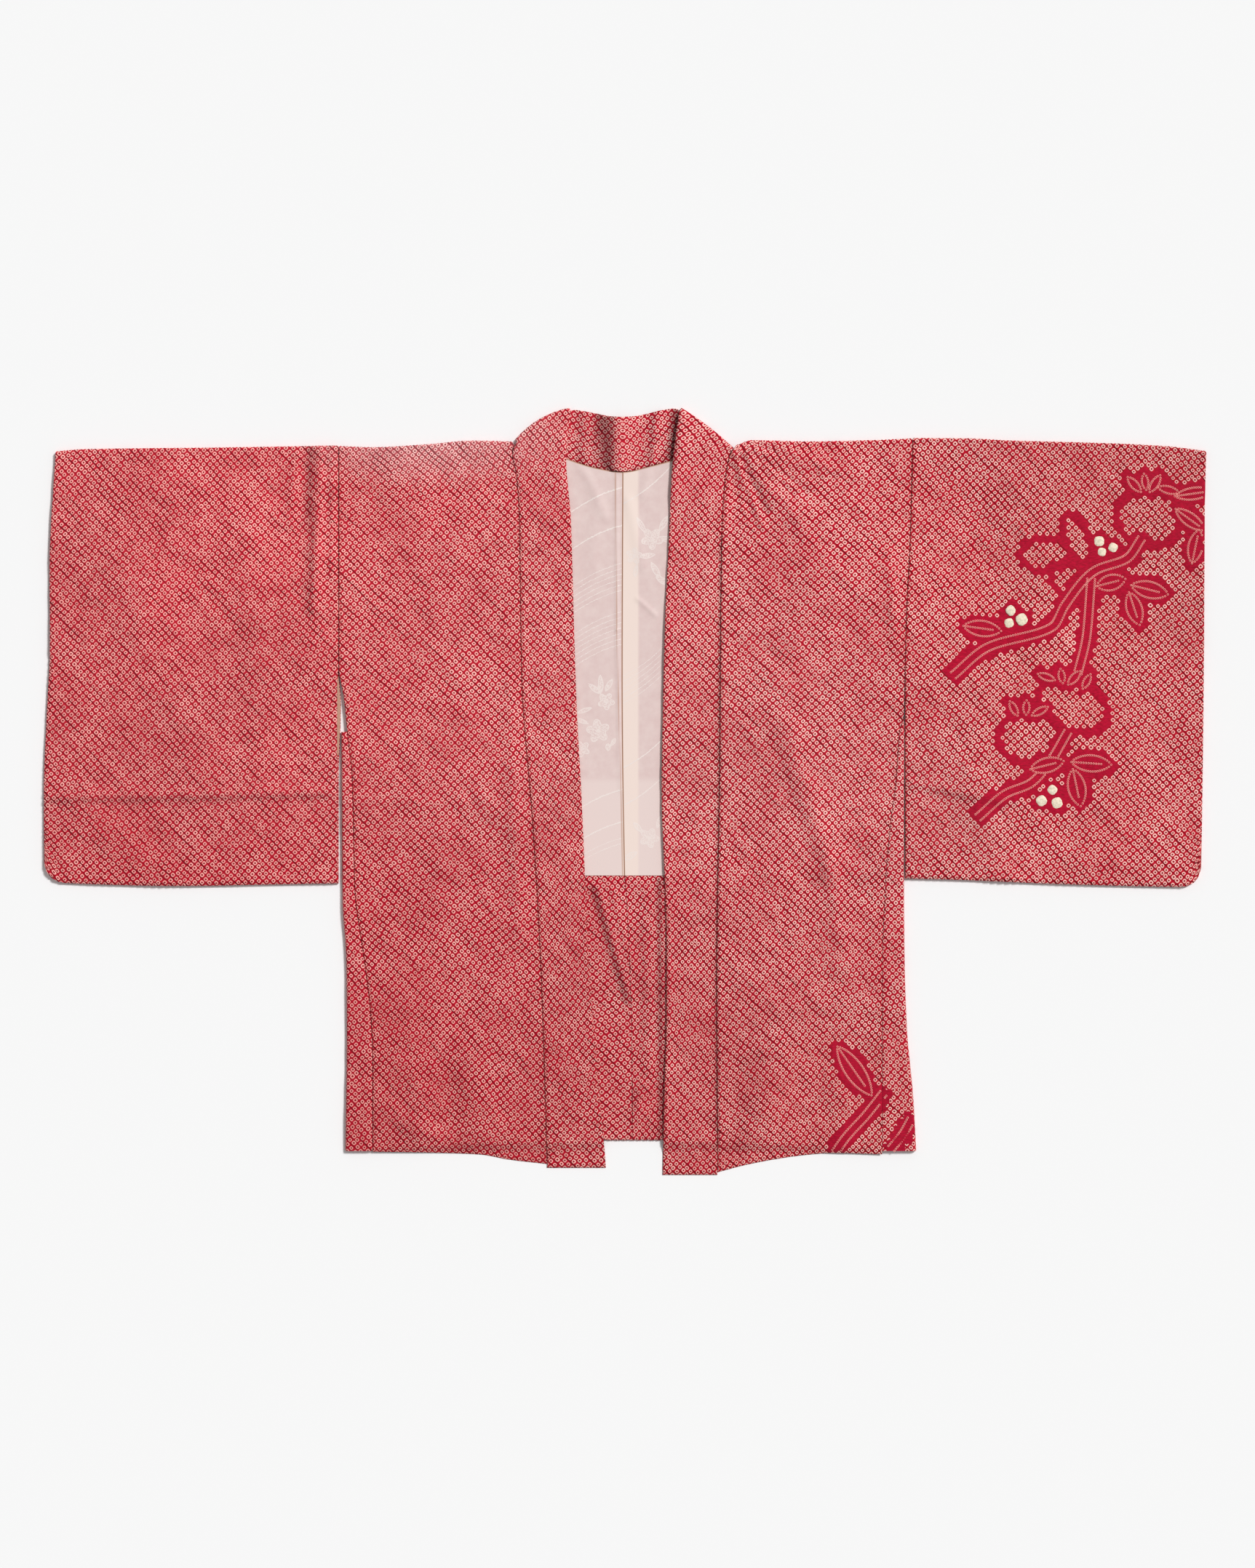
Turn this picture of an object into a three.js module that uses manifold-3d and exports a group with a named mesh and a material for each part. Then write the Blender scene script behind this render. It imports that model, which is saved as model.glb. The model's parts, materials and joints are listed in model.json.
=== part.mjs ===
// A woman's lined haori laid out flat on its back, sleeves straight out, front open.
// X runs across the sleeves, Y from hem to collar, Z up from the surface; millimetres.
// The origin is under the middle of the laid-out garment. "right" and "left" are the wearer's:
// the wearer's right is at -X, because the fronts are uppermost.

import * as THREE from 'three';
import { mergeVertices } from 'three/addons/utils/BufferGeometryUtils.js';
import Module from 'manifold-3d';

const wasm = await Module();
wasm.setup();

// ---- driving sizes ----
const CLOTH = 2.0; // tie-dyed silk crepe, points and all
const LINING = 1.2; // damask lining with its seam allowances
const COLLAR = 3.0; // collar strip: the cloth folded in four
const SEAM = 0.3; // what parts two pieces at a seam
const FOLD_SIDES = 4; // facets of a half turn
const BODY_COLUMNS = 7; // between the side and the collar

// Levels: back, turned-up hem, front. Each lies SEAM above the one below.
const BACK_MIDDLE = CLOTH / 2;
const TURN_UP_MIDDLE = CLOTH + SEAM + CLOTH / 2;
const FRONT_BOTTOM = 2 * (CLOTH + SEAM);
const FRONT_MIDDLE = FRONT_BOTTOM + CLOTH / 2;
const FRONT_TOP = FRONT_BOTTOM + CLOTH;
const COLLAR_MIDDLE = FRONT_BOTTOM + COLLAR / 2;
const BAND_MIDDLE = COLLAR / 2;
const EDGE_ROLL = 3.0; // how far in from a sewn edge the sleeve's top starts to turn down
const DROOP_RUN = 14; // where a front passes the back hem it comes down over this length
const SETTLING = 20; // folds die away over this length where a piece is sewn down

// ---- small tools ----
const table = (columns, ...rows) =>
  rows.map((row) => Object.fromEntries(columns.map((name, i) => [name, row[i]])));
const mix = THREE.MathUtils.lerp;
const smooth = (t) => THREE.MathUtils.smoothstep(t, 0, 1);
const steps = (count) => Array.from({ length: count + 1 }, (_, i) => i / count);

// A smooth line through a table's rows, with no overshoot, which runs on straight beyond its ends.
function through(rows, at, value) {
  const rises = rows.slice(1).map((row, i) => (row[value] - rows[i][value]) / (row[at] - rows[i][at]));
  const slopes = rows.map((_, i) => {
    const [before, after] = [rises[Math.max(i - 1, 0)], rises[Math.min(i, rises.length - 1)]];
    return before * after <= 0 ? 0 : (2 * before * after) / (before + after);
  });
  return (position) => {
    let i = 0;
    while (i < rows.length - 2 && position > rows[i + 1][at]) i += 1;
    const [a, b, span] = [rows[i], rows[i + 1], rows[i + 1][at] - rows[i][at]];
    const t = (position - a[at]) / span;
    if (t < 0) return a[value] + slopes[i] * (position - a[at]);
    if (t > 1) return b[value] + slopes[i + 1] * (position - b[at]);
    const [t2, t3] = [t * t, t * t * t];
    return (2 * t3 - 3 * t2 + 1) * a[value] + (t3 - 2 * t2 + t) * span * slopes[i]
      + (3 * t2 - 2 * t3) * b[value] + (t3 - t2) * span * slopes[i + 1];
  };
}

// ---- the cut: edges of each piece, as laid ----
const cuff = {
  right: table(['y', 'x'], [-105, -646], [0, -646.4], [90, -643], [165, -639.5], [245, -640], [380, -633]),
  left: table(['y', 'x'], [-107, 640.5], [0, 642.3], [160, 644], [300, 644.5], [380, 646.4]),
};
const armhole = {
  right: table(['y', 'x'], [-105, -318.5], [20, -318.5], [70, -316.6], [95, -316], [136, -318.5],
    [386, -318.5]),
  left: table(['y', 'x'], [-98, 311.6], [60, 311.4], [140, 311.4], [205, 313.2], [280, 317], [392, 319.8]),
};
const sleeveTop = {
  right: table(['x', 'y'], [-633, 378.5], [-600, 381], [-440, 383], [-318, 385]),
  left: table(['x', 'y'], [319, 393.5], [380, 393], [430, 390.5], [510, 388.5], [600, 384.5], [646, 379]),
};
const sleeveBottom = {
  right: table(['x', 'y'], [-646, -101], [-590, -103.5], [-500, -105.5], [-380, -103.5], [-318, -102.5]),
  left: table(['x', 'y'], [311, -97], [375, -98.8], [470, -102.8], [560, -105.5], [640, -107]),
};
const CUFF_CORNER = 22; // radius of the sleeve's lower outer corner
const WRIST_OPENING = 225; // the cuff edge is open this far down from the fold
const OPEN_EDGE = { x: -320, top: 131, bottom: -90 }; // below the right armhole the top layer stands back
const SLEEVE_LINING = { outer: -345, top: 128, bottom: 40 }; // and its lining shows there as a sliver

const shoulder = {
  right: table(['x', 'y'], [-318, 384.5], [-280, 383.2], [-220, 386.5], [-170, 390.5], [-127, 389.5]),
  left: table(['x', 'y'], [123, 385], [142, 391], [200, 389.6], [280, 391.2], [320, 393]),
};
const NECK_END = { right: -127, left: 123.5 }; // where the shoulder fold stops at the collar
const collarSeam = {
  right: table(['y', 'x'], [-418, -86.5], [-210, -93], [-45, -102], [130, -115], [305, -117.5],
    [353, -120.7], [375, -125.2], [391, -124]),
  left: table(['y', 'x'], [-426, 102.8], [-210, 101.3], [10, 104.5], [282, 107], [340, 110],
    [360, 112.8], [376, 116.5], [384, 122]),
};
// Side edge of the body: along the armhole, then along the gusset seam.
const bodySide = {
  right: table(['y', 'x'], [-402, -280.6], [-295, -280.8], [-250, -282.7], [-188, -290], [-108, -300.6],
    [10, -303.3], [66, -308.8], [106, -313], [136, -318.2], [386, -318.2]),
  left: table(['y', 'x'], [-402, 286], [-204, 286], [-96, 290], [-37, 295], [10, 301], [66, 305],
    [86, 310.2], [140, 311.1], [205, 312.9], [280, 316.7], [392, 319.5]),
};
const gussetFold = {
  right: table(['y', 'x'], [-400, -311], [-260, -309.5], [-190, -310], [-120, -314.3], [64, -315.6]),
  left: table(['y', 'x'], [-401, 324], [-342, 320.8], [-261, 313.5], [-180, 311], [-100, 310.4], [72, 310.9]),
};
const GUSSET_TOP = 66;
const GUSSET_HEM = -400;
const frontHem = {
  right: table(['x', 'y'], [-281, -401], [-200, -402.6], [-160, -404.5], [-130, -410], [-87, -415]),
  left: table(['x', 'y'], [102, -424.5], [130, -417], [165, -410], [200, -405], [230, -402.5], [286, -404]),
};
const backHem = table(['x', 'y'], [-290, -397.5], [-200, -392], [-60, -388.5], [8, -388.5], [60, -388.5],
  [200, -392], [290, -398]);
const centreSeam = table(['y', 'x'], [-389, 8], [-250, 7], [-205, 5.5], [-120, 1.4], [-95, -0.4], [130, -3.2],
  [356, -2.4]);
const TURN_UP_TOP = -94; // upper edge of the hem turned up inside the back
const neckline = table(['x', 'y'], [-127, 391.4], [-120.4, 388.2], [-97, 381], [-67, 370.9],
  [-33, 360.1], [-2.4, 355.4], [28, 361.8], [62, 370.5], [99, 376.4], [118.6, 379.2]);
// The cloth below and the band above the neckline share these places along it.
const neckStations = {
  right: [-120.4, -97, -82, -67, -50, -33, -17, -2.4],
  left: [118.6, 99, 80, 62, 45, 28, 12, -2.4],
};
// Rows that every piece of the body shares, so that its seams follow the same line on both sides.
const HEM_ROW = -375;
const CROWN_ROW = 387;
const EASED_FROM = 275; // above this row the rows are drawn up or down to meet the upper edge
const bodyRows = [HEM_ROW, -345, -310, -275, -240, -205, -170, -130, -94, -60, -25, 10, 40, 66, 86, 106, 136,
  170, 205, 240, 275, 305, 330, 348, 362, 375];

// ---- largest folds of the upper layer: soft ridges from one point to another ----
const ridges = table(['x0', 'y0', 'x1', 'y1', 'width', 'height'],
  [126, 374, 192, 306, 16, 3.4], // gather from the left neck point
  [116, 366, 110, 290, 7, 2.2], // ease along the left collar seam
  [-336, 372, -350, 215, 17, 2.6], // beside the right armhole
  [-150, -398, -166, -300, 22, 2.4], // hem wave of the right front
  [-226, -396, -232, -320, 20, 1.6],
  [150, -404, 168, -296, 24, 2.8], // hem wave of the left front
  [243, -398, 236, -318, 18, 1.8],
  [-240, 330, -190, 150, 34, 1.8], // drape of the right front
  [215, 250, 165, 40, 38, 1.8], // drape of the left front
  [-560, 250, -470, 30, 42, 2.2], // drape of the right sleeve
  [-600, -20, -520, -90, 24, 1.6],
  [420, 350, 480, 150, 40, 2.2], // drape of the left sleeve
  [380, 20, 420, -88, 26, 1.8]);
// Folds of the neck band and of the turned-up hem where it shows.
const bandRidges = table(['x0', 'y0', 'x1', 'y1', 'width', 'height'],
  [-3, 420, -6, 360, 8, 3.2],
  [-46, 424, -50, 366, 12, 1.6],
  [34, 420, 26, 364, 12, 1.8]);
const turnUpRidges = table(['x0', 'y0', 'x1', 'y1', 'width', 'height'],
  [-20, -112, 14, -228, 7, 1.8],
  [16, -330, 12, -384, 8, 1.9]);

function lift(rows, x, y) {
  let height = 0;
  for (const ridge of rows) {
    const [runX, runY] = [ridge.x1 - ridge.x0, ridge.y1 - ridge.y0];
    const length = Math.hypot(runX, runY);
    const along = ((x - ridge.x0) * runX + (y - ridge.y0) * runY) / length;
    const aside = ((y - ridge.y0) * runX - (x - ridge.x0) * runY) / length;
    const past = Math.max(-along, along - length, 0);
    height += ridge.height * Math.exp(-((aside * aside) + past * past) / (ridge.width * ridge.width));
  }
  return height;
}

const backHemAt = through(backHem, 'x', 'y');
const centreAt = through(centreSeam, 'y', 'x');
const necklineAt = through(neckline, 'x', 'y');

// A front lies level on what is under it and comes down to the surface past the back hem.
function frontLift(x, y) {
  const down = FRONT_BOTTOM * (1 - smooth((y - backHemAt(x) + DROOP_RUN) / DROOP_RUN));
  const settled = smooth((y - backHemAt(x) + DROOP_RUN) / (2 * DROOP_RUN));
  return lift(ridges, x, y) * settled - down;
}

// ---- meshes ----
function geometryOf(points, triangles) {
  const geometry = new THREE.BufferGeometry();
  geometry.setAttribute('position', new THREE.Float32BufferAttribute(points, 3));
  geometry.setIndex(triangles);
  return geometry;
}

// A sheet of cloth: pointAt(i, j, side) gives its right side (+1) and wrong side (-1) on a grid of
// columns and rows, and kept(i, j) says which cells of the grid are cloth.
function sheet(columns, rows, pointAt, kept = () => true) {
  const points = [];
  const triangles = [];
  const numbers = new Map();
  const vertex = (i, j, side) => {
    const key = `${i},${j},${side}`;
    if (!numbers.has(key)) {
      numbers.set(key, points.length / 3);
      points.push(...pointAt(i, j, side));
    }
    return numbers.get(key);
  };
  const quad = (a, b, c, d) => triangles.push(a, b, c, a, c, d);
  const inside = (i, j) => i >= 0 && j >= 0 && i < columns && j < rows && kept(i, j);
  for (let i = 0; i < columns; i += 1) {
    for (let j = 0; j < rows; j += 1) {
      if (!inside(i, j)) continue;
      for (const side of [1, -1]) {
        const corners = [[i, j], [i + 1, j], [i + 1, j + 1], [i, j + 1]].map(([a, b]) => vertex(a, b, side));
        quad(...(side > 0 ? corners : corners.reverse()));
      }
      const walls = [[0, -1, [i, j], [i + 1, j]], [1, 0, [i + 1, j], [i + 1, j + 1]],
        [0, 1, [i + 1, j + 1], [i, j + 1]], [-1, 0, [i, j + 1], [i, j]]];
      for (const [di, dj, from, to] of walls) {
        if (inside(i + di, j + dj)) continue;
        quad(vertex(...from, -1), vertex(...to, -1), vertex(...to, 1), vertex(...from, 1));
      }
    }
  }
  return geometryOf(points, triangles);
}

// Turns a sheet inside out where its grid runs the other way round.
function flipped(geometry) {
  geometry.setIndex([...geometry.index.array].reverse());
  return geometry;
}

function solidOf(geometry) {
  const merged = mergeVertices(geometry);
  return new wasm.Manifold(new wasm.Mesh({
    numProp: 3,
    vertProperties: new Float32Array(merged.attributes.position.array),
    triVerts: new Uint32Array(merged.index.array),
  }));
}

function geometryFrom(solid) {
  const mesh = solid.getMesh();
  return geometryOf([...mesh.vertProperties], [...mesh.triVerts]);
}

// ---- pieces ----

function eased(row, top) {
  return row < EASED_FROM ? row : mix(EASED_FROM, top, (row - EASED_FROM) / (CROWN_ROW - EASED_FROM));
}

// One length of cloth a side: turned up inside the back, round the back hem, up the back,
// over the shoulder fold and down the front. Its outer columns run the whole way, and its
// inner ones, between the neck end and the centre back, stop at the neckline.
function body(side, outward) {
  const sideAt = through(bodySide[side], 'y', 'x');
  const seamAt = through(collarSeam[side], 'y', 'x');
  const shoulderAt = through(shoulder[side], 'x', 'y');
  const frontHemAt = through(frontHem[side], 'x', 'y');
  const outer = steps(BODY_COLUMNS);
  const inner = neckStations[side];
  const folding = steps(FOLD_SIDES).slice(1, -1);
  const stations = [
    ...bodyRows.filter((row) => row <= TURN_UP_TOP).reverse().map((row) => ({ part: 'turnUp', row })),
    ...steps(FOLD_SIDES).map((t) => ({ part: 'hemFold', t })),
    ...[...bodyRows, CROWN_ROW].map((row) => ({ part: 'back', row })),
    ...folding.map((t) => ({ part: 'shoulderFold', t })),
    ...[...bodyRows, CROWN_ROW].reverse().map((row) => ({ part: 'front', row })),
    ...steps(FOLD_SIDES).map((t) => ({ part: 'frontHem', t })),
  ];
  const hemRadius = (TURN_UP_MIDDLE - BACK_MIDDLE) / 2;
  const turnRadius = hemRadius + CLOTH / 2;
  const shoulderReach = (FRONT_MIDDLE - BACK_MIDDLE + CLOTH) / 2;
  const neckX = NECK_END[side];

  // Where a column lies in the back: the inner ones stand at the neck stations and lean with
  // the centre seam.
  const backX = (i, y) => {
    if (i < outer.length) return mix(sideAt(y), neckX, outer[i]);
    const station = inner[i - outer.length];
    const share = (station - neckX) / (inner.at(-1) - neckX);
    return station + share * (centreAt(y) - inner.at(-1) + outward * SEAM / 2);
  };
  const frontX = (i, y) => mix(sideAt(y), seamAt(y) + outward * SEAM, outer[i]);
  const backTop = (i, x) => (i < outer.length ? shoulderAt(x) - shoulderReach : necklineAt(x) - SEAM);

  function pointAt(i, j, face) {
    const { part, row, t } = stations[j];
    const half = face * CLOTH / 2;
    if (part === 'turnUp') {
      const x = backX(i, row);
      const settled = smooth((TURN_UP_TOP - row) / SETTLING) * smooth((row - HEM_ROW) / SETTLING);
      return [x, row, TURN_UP_MIDDLE + half + lift(turnUpRidges, x, row) * settled];
    }
    if (part === 'hemFold') {
      const x = backX(i, backHemAt(backX(i, HEM_ROW)));
      const reach = hemRadius + half;
      const centre = (TURN_UP_MIDDLE + BACK_MIDDLE) / 2;
      const y = backHemAt(x) + turnRadius - reach * Math.sin(Math.PI * t);
      return [x, y, centre + reach * Math.cos(Math.PI * t)];
    }
    if (part === 'back') {
      const x = backX(i, eased(row, backTop(i, backX(i, row))));
      return [x, eased(row, backTop(i, x)), BACK_MIDDLE - half];
    }
    if (part === 'shoulderFold') {
      const x = mix(backX(i, CROWN_ROW), frontX(i, CROWN_ROW - shoulderReach), t);
      const crown = shoulderAt(x) - shoulderReach;
      const radius = (FRONT_MIDDLE + frontLift(x, crown) - BACK_MIDDLE) / 2;
      const angle = Math.PI * t;
      return [x, crown + (shoulderReach - CLOTH / 2 + half) * Math.sin(angle),
        BACK_MIDDLE + radius - (radius + half) * Math.cos(angle)];
    }
    let x;
    let y;
    if (part === 'frontHem') {
      const rough = mix(backHemAt(frontX(i, HEM_ROW)), frontHemAt(frontX(i, HEM_ROW)), t);
      x = frontX(i, rough);
      y = mix(backHemAt(x) + SEAM, frontHemAt(x), t);
    } else {
      x = frontX(i, eased(row, shoulderAt(frontX(i, row)) - shoulderReach));
      y = eased(row, shoulderAt(x) - shoulderReach);
    }
    return [x, y, FRONT_MIDDLE + half + frontLift(x, y)];
  }

  const columns = outer.length + inner.length - 1;
  const lastBack = stations.findLastIndex((station) => station.part === 'back');
  const kept = (i, j) => i < outer.length - 1 || j < lastBack;
  const geometry = sheet(columns, stations.length - 1, pointAt, kept);
  return outward < 0 ? flipped(geometry) : geometry;
}

// A wedge let in between front and back, lying folded in half along the side edge.
function gusset(side, outward) {
  const seamAt = through(bodySide[side], 'y', 'x');
  const foldAt = through(gussetFold[side], 'y', 'x');
  const reach = (FRONT_MIDDLE - BACK_MIDDLE + CLOTH) / 2;
  const across = [
    { level: 'back', t: 0 }, { level: 'back', t: 1 },
    ...steps(FOLD_SIDES).slice(1, -1).map((t) => ({ level: 'fold', t })),
    { level: 'front', t: 1 }, { level: 'front', t: 0 },
  ];
  const rows = [...bodyRows.filter((row) => row <= GUSSET_TOP).reverse(), GUSSET_HEM];
  function pointAt(i, j, face) {
    const y = rows[j];
    const seamX = seamAt(y) + outward * SEAM;
    const edgeX = foldAt(y) - outward * reach;
    const rise = frontLift(seamX, y);
    const half = face * CLOTH / 2;
    const { level, t } = across[i];
    if (level === 'back') return [mix(seamX, edgeX, t), y, BACK_MIDDLE - half];
    if (level === 'front') return [mix(seamX, edgeX, t), y, FRONT_MIDDLE + half + rise];
    const radius = (FRONT_MIDDLE + rise - BACK_MIDDLE) / 2;
    const angle = Math.PI * t;
    return [edgeX + outward * (reach - CLOTH / 2 + half) * Math.sin(angle), y,
      BACK_MIDDLE + radius - (radius + half) * Math.cos(angle)];
  }
  const geometry = sheet(across.length - 1, rows.length - 1, pointAt);
  return outward < 0 ? flipped(geometry) : geometry;
}

// A length of cloth folded at the top and sewn along the bottom and the lower part of the cuff,
// so it is a flat bag: a pillow less the hollow between its two layers.
function sleeve(side, outward) {
  const cuffAt = through(cuff[side], 'y', 'x');
  const armholeAt = through(armhole[side], 'y', 'x');
  const topAt = through(sleeveTop[side], 'x', 'y');
  const bottomAt = through(sleeveBottom[side], 'x', 'y');
  const middleX = (cuffAt(0) + armholeAt(0)) / 2;
  const width = Math.abs(cuffAt(0) - armholeAt(0));
  const height = topAt(middleX) - bottomAt(middleX);
  const nearCuff = [0, 1.2, EDGE_ROLL, 7, 13, CUFF_CORNER].map((d) => d / width);
  const nearEnd = [0, 1.2, EDGE_ROLL].map((d) => d / height);
  const us = [...nearCuff, ...steps(8).slice(1)];
  const vs = [...nearEnd, ...steps(12).slice(1, -1), ...nearEnd.map((v) => 1 - v).reverse()];

  // u from the cuff to the armhole, v from the bottom to the fold, inset from each by so much
  function place(u, v, { cuffIn, armholeIn, endIn }) {
    const roughY = mix(bottomAt(middleX), topAt(middleX), v);
    const edges = (y) => mix(cuffAt(y) - outward * cuffIn, armholeAt(y) + outward * armholeIn, u);
    let x = edges(roughY);
    const fromCuff = Math.max(Math.abs(cuffAt(roughY) - x) - cuffIn, 0);
    const radius = CUFF_CORNER - cuffIn;
    const short = Math.max(radius - fromCuff, 0);
    const rounding = radius - Math.sqrt(radius * radius - short * short);
    const y = mix(bottomAt(x) + endIn + rounding, topAt(x) - endIn, v);
    x = edges(y);
    return [x, y];
  }
  const rolled = (u, v) => {
    const distance = Math.min(u * width, v * height, (1 - v) * height, EDGE_ROLL);
    return EDGE_ROLL - Math.sqrt(EDGE_ROLL ** 2 - (EDGE_ROLL - distance) ** 2);
  };
  const slab = (insets, low, high) => {
    const geometry = sheet(us.length - 1, vs.length - 1, (i, j, face) => {
      const [x, y] = place(us[i], vs[j], insets);
      return [x, y, face > 0 ? high(x, y, us[i], vs[j]) : low];
    });
    return solidOf(outward < 0 ? geometry : flipped(geometry));
  };
  const top = (x, y) => FRONT_TOP + lift(ridges, x, y);
  const pillow = slab({ cuffIn: 0, armholeIn: SEAM / 2, endIn: 0 }, 0,
    (x, y, u, v) => top(x, y) - rolled(u, v));
  const hollow = slab({ cuffIn: CLOTH, armholeIn: -CLOTH, endIn: CLOTH }, CLOTH,
    (x, y) => top(x, y) - CLOTH);

  // The wrist opening, through the cuff edge.
  const mouthTop = topAt(cuffAt(CROWN_ROW)) - CLOTH;
  const mouthRows = 8;
  const mouth = sheet(1, mouthRows, (i, j, face) => {
    const y = mix(mouthTop - WRIST_OPENING, mouthTop - EDGE_ROLL, j / mouthRows);
    const x = cuffAt(y) + outward * mix(CLOTH, -2 * CLOTH, i);
    return [x, y, face > 0 ? top(x, y) - CLOTH : CLOTH];
  });
  const bag = pillow.subtract(hollow).subtract(solidOf(outward < 0 ? mouth : flipped(mouth)));
  return geometryFrom(side === 'right' ? bag.subtract(solidOf(openEdge())) : bag);
}

// What the top layer lacks along the open inner edge of the right sleeve, where it stands back.
function openEdge() {
  const [from, to] = [OPEN_EDGE.x, armhole.right[0].x + CLOTH * 2];
  const depth = CLOTH + SEAM / 2;
  const block = new THREE.BoxGeometry(to - from, OPEN_EDGE.top - OPEN_EDGE.bottom, FRONT_TOP * 2);
  block.translate((from + to) / 2, (OPEN_EDGE.top + OPEN_EDGE.bottom) / 2, depth + FRONT_TOP);
  block.deleteAttribute('normal');
  block.deleteAttribute('uv');
  return block;
}

// A strip of the right sleeve's lining, lying on the back layer where it shows.
function sleeveLining() {
  const edgeAt = through(armhole.right, 'y', 'x');
  const rows = 8;
  return sheet(1, rows, (i, j, face) => {
    const y = mix(SLEEVE_LINING.bottom, SLEEVE_LINING.top, j / rows);
    return [i === 0 ? SLEEVE_LINING.outer : edgeAt(y) - 2 * SEAM, y, CLOTH + SEAM + (face > 0 ? LINING : 0)];
  });
}

// The collar is one strip, ruled from its seam edge to its free edge: up the right front, over a
// fold, round the back of the neck with its wrong side up, over the other fold, and down the
// left front. Its seam edge follows the body's, so the tables give the free edge alone.
const freeEdge = {
  right: table(['y', 'x'], [-419, -21.3], [-389, -23.5], [-345, -28], [-188, -40.5], [-95, -44.5], [0, -48.6],
    [90, -53.5], [205, -57.3], [300, -60], [375, -65.6], [424, -61]),
  left: table(['y', 'x'], [-426, 42], [-345, 43.2], [-255, 46], [-170, 46.2], [-95, 44], [0, 40.6], [90, 42],
    [190, 44.5], [290, 49.2], [350, 51.6], [390, 55.5], [424, 60.5]),
};
// How far the free edge runs ahead of the seam edge near the creases: rulings fan round to them.
const fan = {
  right: table(['y', 'ahead'], [275, 0], [305, 1], [330, 6], [348, 13], [362, 20], [375, 27]),
  left: table(['y', 'ahead'], [275, 0], [305, 4], [330, 14], [348, 22], [362, 30], [375, 39]),
};
const collarHem = { right: -419, left: -426.9 };
const crease = {
  right: { seamX: -122.3, seamY: 391.5, freeX: -62.4, freeY: 426.9, bulge: 6 },
  left: { seamX: 121, seamY: 382.2, freeX: 63, freeY: 426.9, bulge: 2 },
};
const bandTop = table(['seamX', 'freeX', 'freeY'],
  [-97, -55, 424.6], [-82, -51, 424], [-67, -45.5, 423], [-50, -38, 421.6],
  [-33, -28, 419.6], [-17, -16.5, 417.4], [-2.4, -5, 416.3], [12, 9, 417.2], [28, 24.5, 420], [45, 37.5, 423.4],
  [62, 47.5, 425.2], [80, 53.5, 426], [99, 57.5, 425.6]);

function collar() {
  const across = steps(4);
  const foldRadius = (COLLAR_MIDDLE - BAND_MIDDLE) / 2;
  const reach = foldRadius + COLLAR / 2;
  const BOWED = 5; // rulings on each side of a crease that share its bow
  const BAND_SHOWS = 56; // the neck band is under the fronts beyond this, and flat there

  // A crease's outward direction, square to it, and the crease pulled in by its fold's reach.
  const creases = Object.fromEntries(Object.entries(crease).map(([side, line]) => {
    const [dx, dy] = [line.freeX - line.seamX, line.freeY - line.seamY];
    const length = Math.hypot(dx, dy) * Math.sign(dx);
    const out = [-dy / length, dx / length];
    return [side, { out, bulge: line.bulge,
      seamX: line.seamX - out[0] * reach, seamY: line.seamY - out[1] * reach,
      freeX: line.freeX - out[0] * reach, freeY: line.freeY - out[1] * reach }];
  }));

  // One front, from its hem up to its crease.
  const front = (side) => {
    const seamAt = through(collarSeam[side], 'y', 'x');
    const freeAt = through(freeEdge[side], 'y', 'x');
    const aheadAt = through(fan[side], 'y', 'ahead');
    const hem = collarHem[side];
    const low = steps(FOLD_SIDES).map((t) => mix(hem, backHemAt(seamAt(hem)) + SEAM, t));
    const rulings = [...low, ...bodyRows].map((seamY) => {
      const freeY = seamY + (seamY > EASED_FROM ? aheadAt(seamY) : 0);
      return { part: 'front', side, seamX: seamAt(seamY), seamY, freeX: freeAt(freeY), freeY };
    });
    return [...rulings, { part: 'front', side, ...creases[side] }];
  };
  const folding = (side) => steps(FOLD_SIDES).slice(1, -1).map((t) => (
    { part: 'fold', side, angle: t * Math.PI, ...creases[side] }));
  // The band's rulings on one side of the centre back, from the crease inwards.
  const band = (side) => {
    const rows = side === 'right' ? bandTop.filter(({ seamX }) => seamX < 0)
      : bandTop.filter(({ seamX }) => seamX > 0).reverse();
    const rulings = rows.map((row) => ({ part: 'band', side, ...row, seamY: necklineAt(row.seamX) }));
    return [{ part: 'band', side, ...creases[side] }, ...rulings];
  };
  // Each ruling takes a share of its crease's bow, less the further it is from the crease.
  const bowed = (rulings) => rulings.map((ruling, i) => {
    const { bulge, out } = creases[ruling.side];
    return { ...ruling, out, bow: bulge * Math.max(0, 1 - i / BOWED) };
  });
  const half = (side) => [
    ...bowed(front(side).reverse()).reverse(),
    ...folding(side).map((ruling) => ({ ...ruling, bow: creases[side].bulge })),
    ...bowed(band(side)),
  ];
  const rulings = [...half('right'), ...half('left').reverse()];

  function pointAt(i, j, face) {
    const ruling = rulings[j];
    const t = across[i];
    const wall = face * COLLAR / 2;
    const bow = 4 * t * (1 - t) * ruling.bow;
    const x = mix(ruling.seamX, ruling.freeX, t) + ruling.out[0] * bow;
    const y = mix(ruling.seamY, ruling.freeY, t) + ruling.out[1] * bow;
    if (ruling.part === 'front') return [x, y, COLLAR_MIDDLE + wall + frontLift(x, y)];
    if (ruling.part === 'band') {
      const clear = smooth((BAND_SHOWS - Math.abs(x)) / SETTLING);
      return [x, y, BAND_MIDDLE - wall + lift(bandRidges, x, y) * clear];
    }
    const rise = frontLift(x, y) / 2;
    const outBy = (foldRadius + wall) * Math.sin(ruling.angle);
    return [x + ruling.out[0] * outBy, y + ruling.out[1] * outBy,
      (COLLAR_MIDDLE + BAND_MIDDLE) / 2 + rise + (foldRadius + rise + wall) * Math.cos(ruling.angle)];
  }
  return sheet(across.length - 1, rulings.length - 1, pointAt);
}

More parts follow.
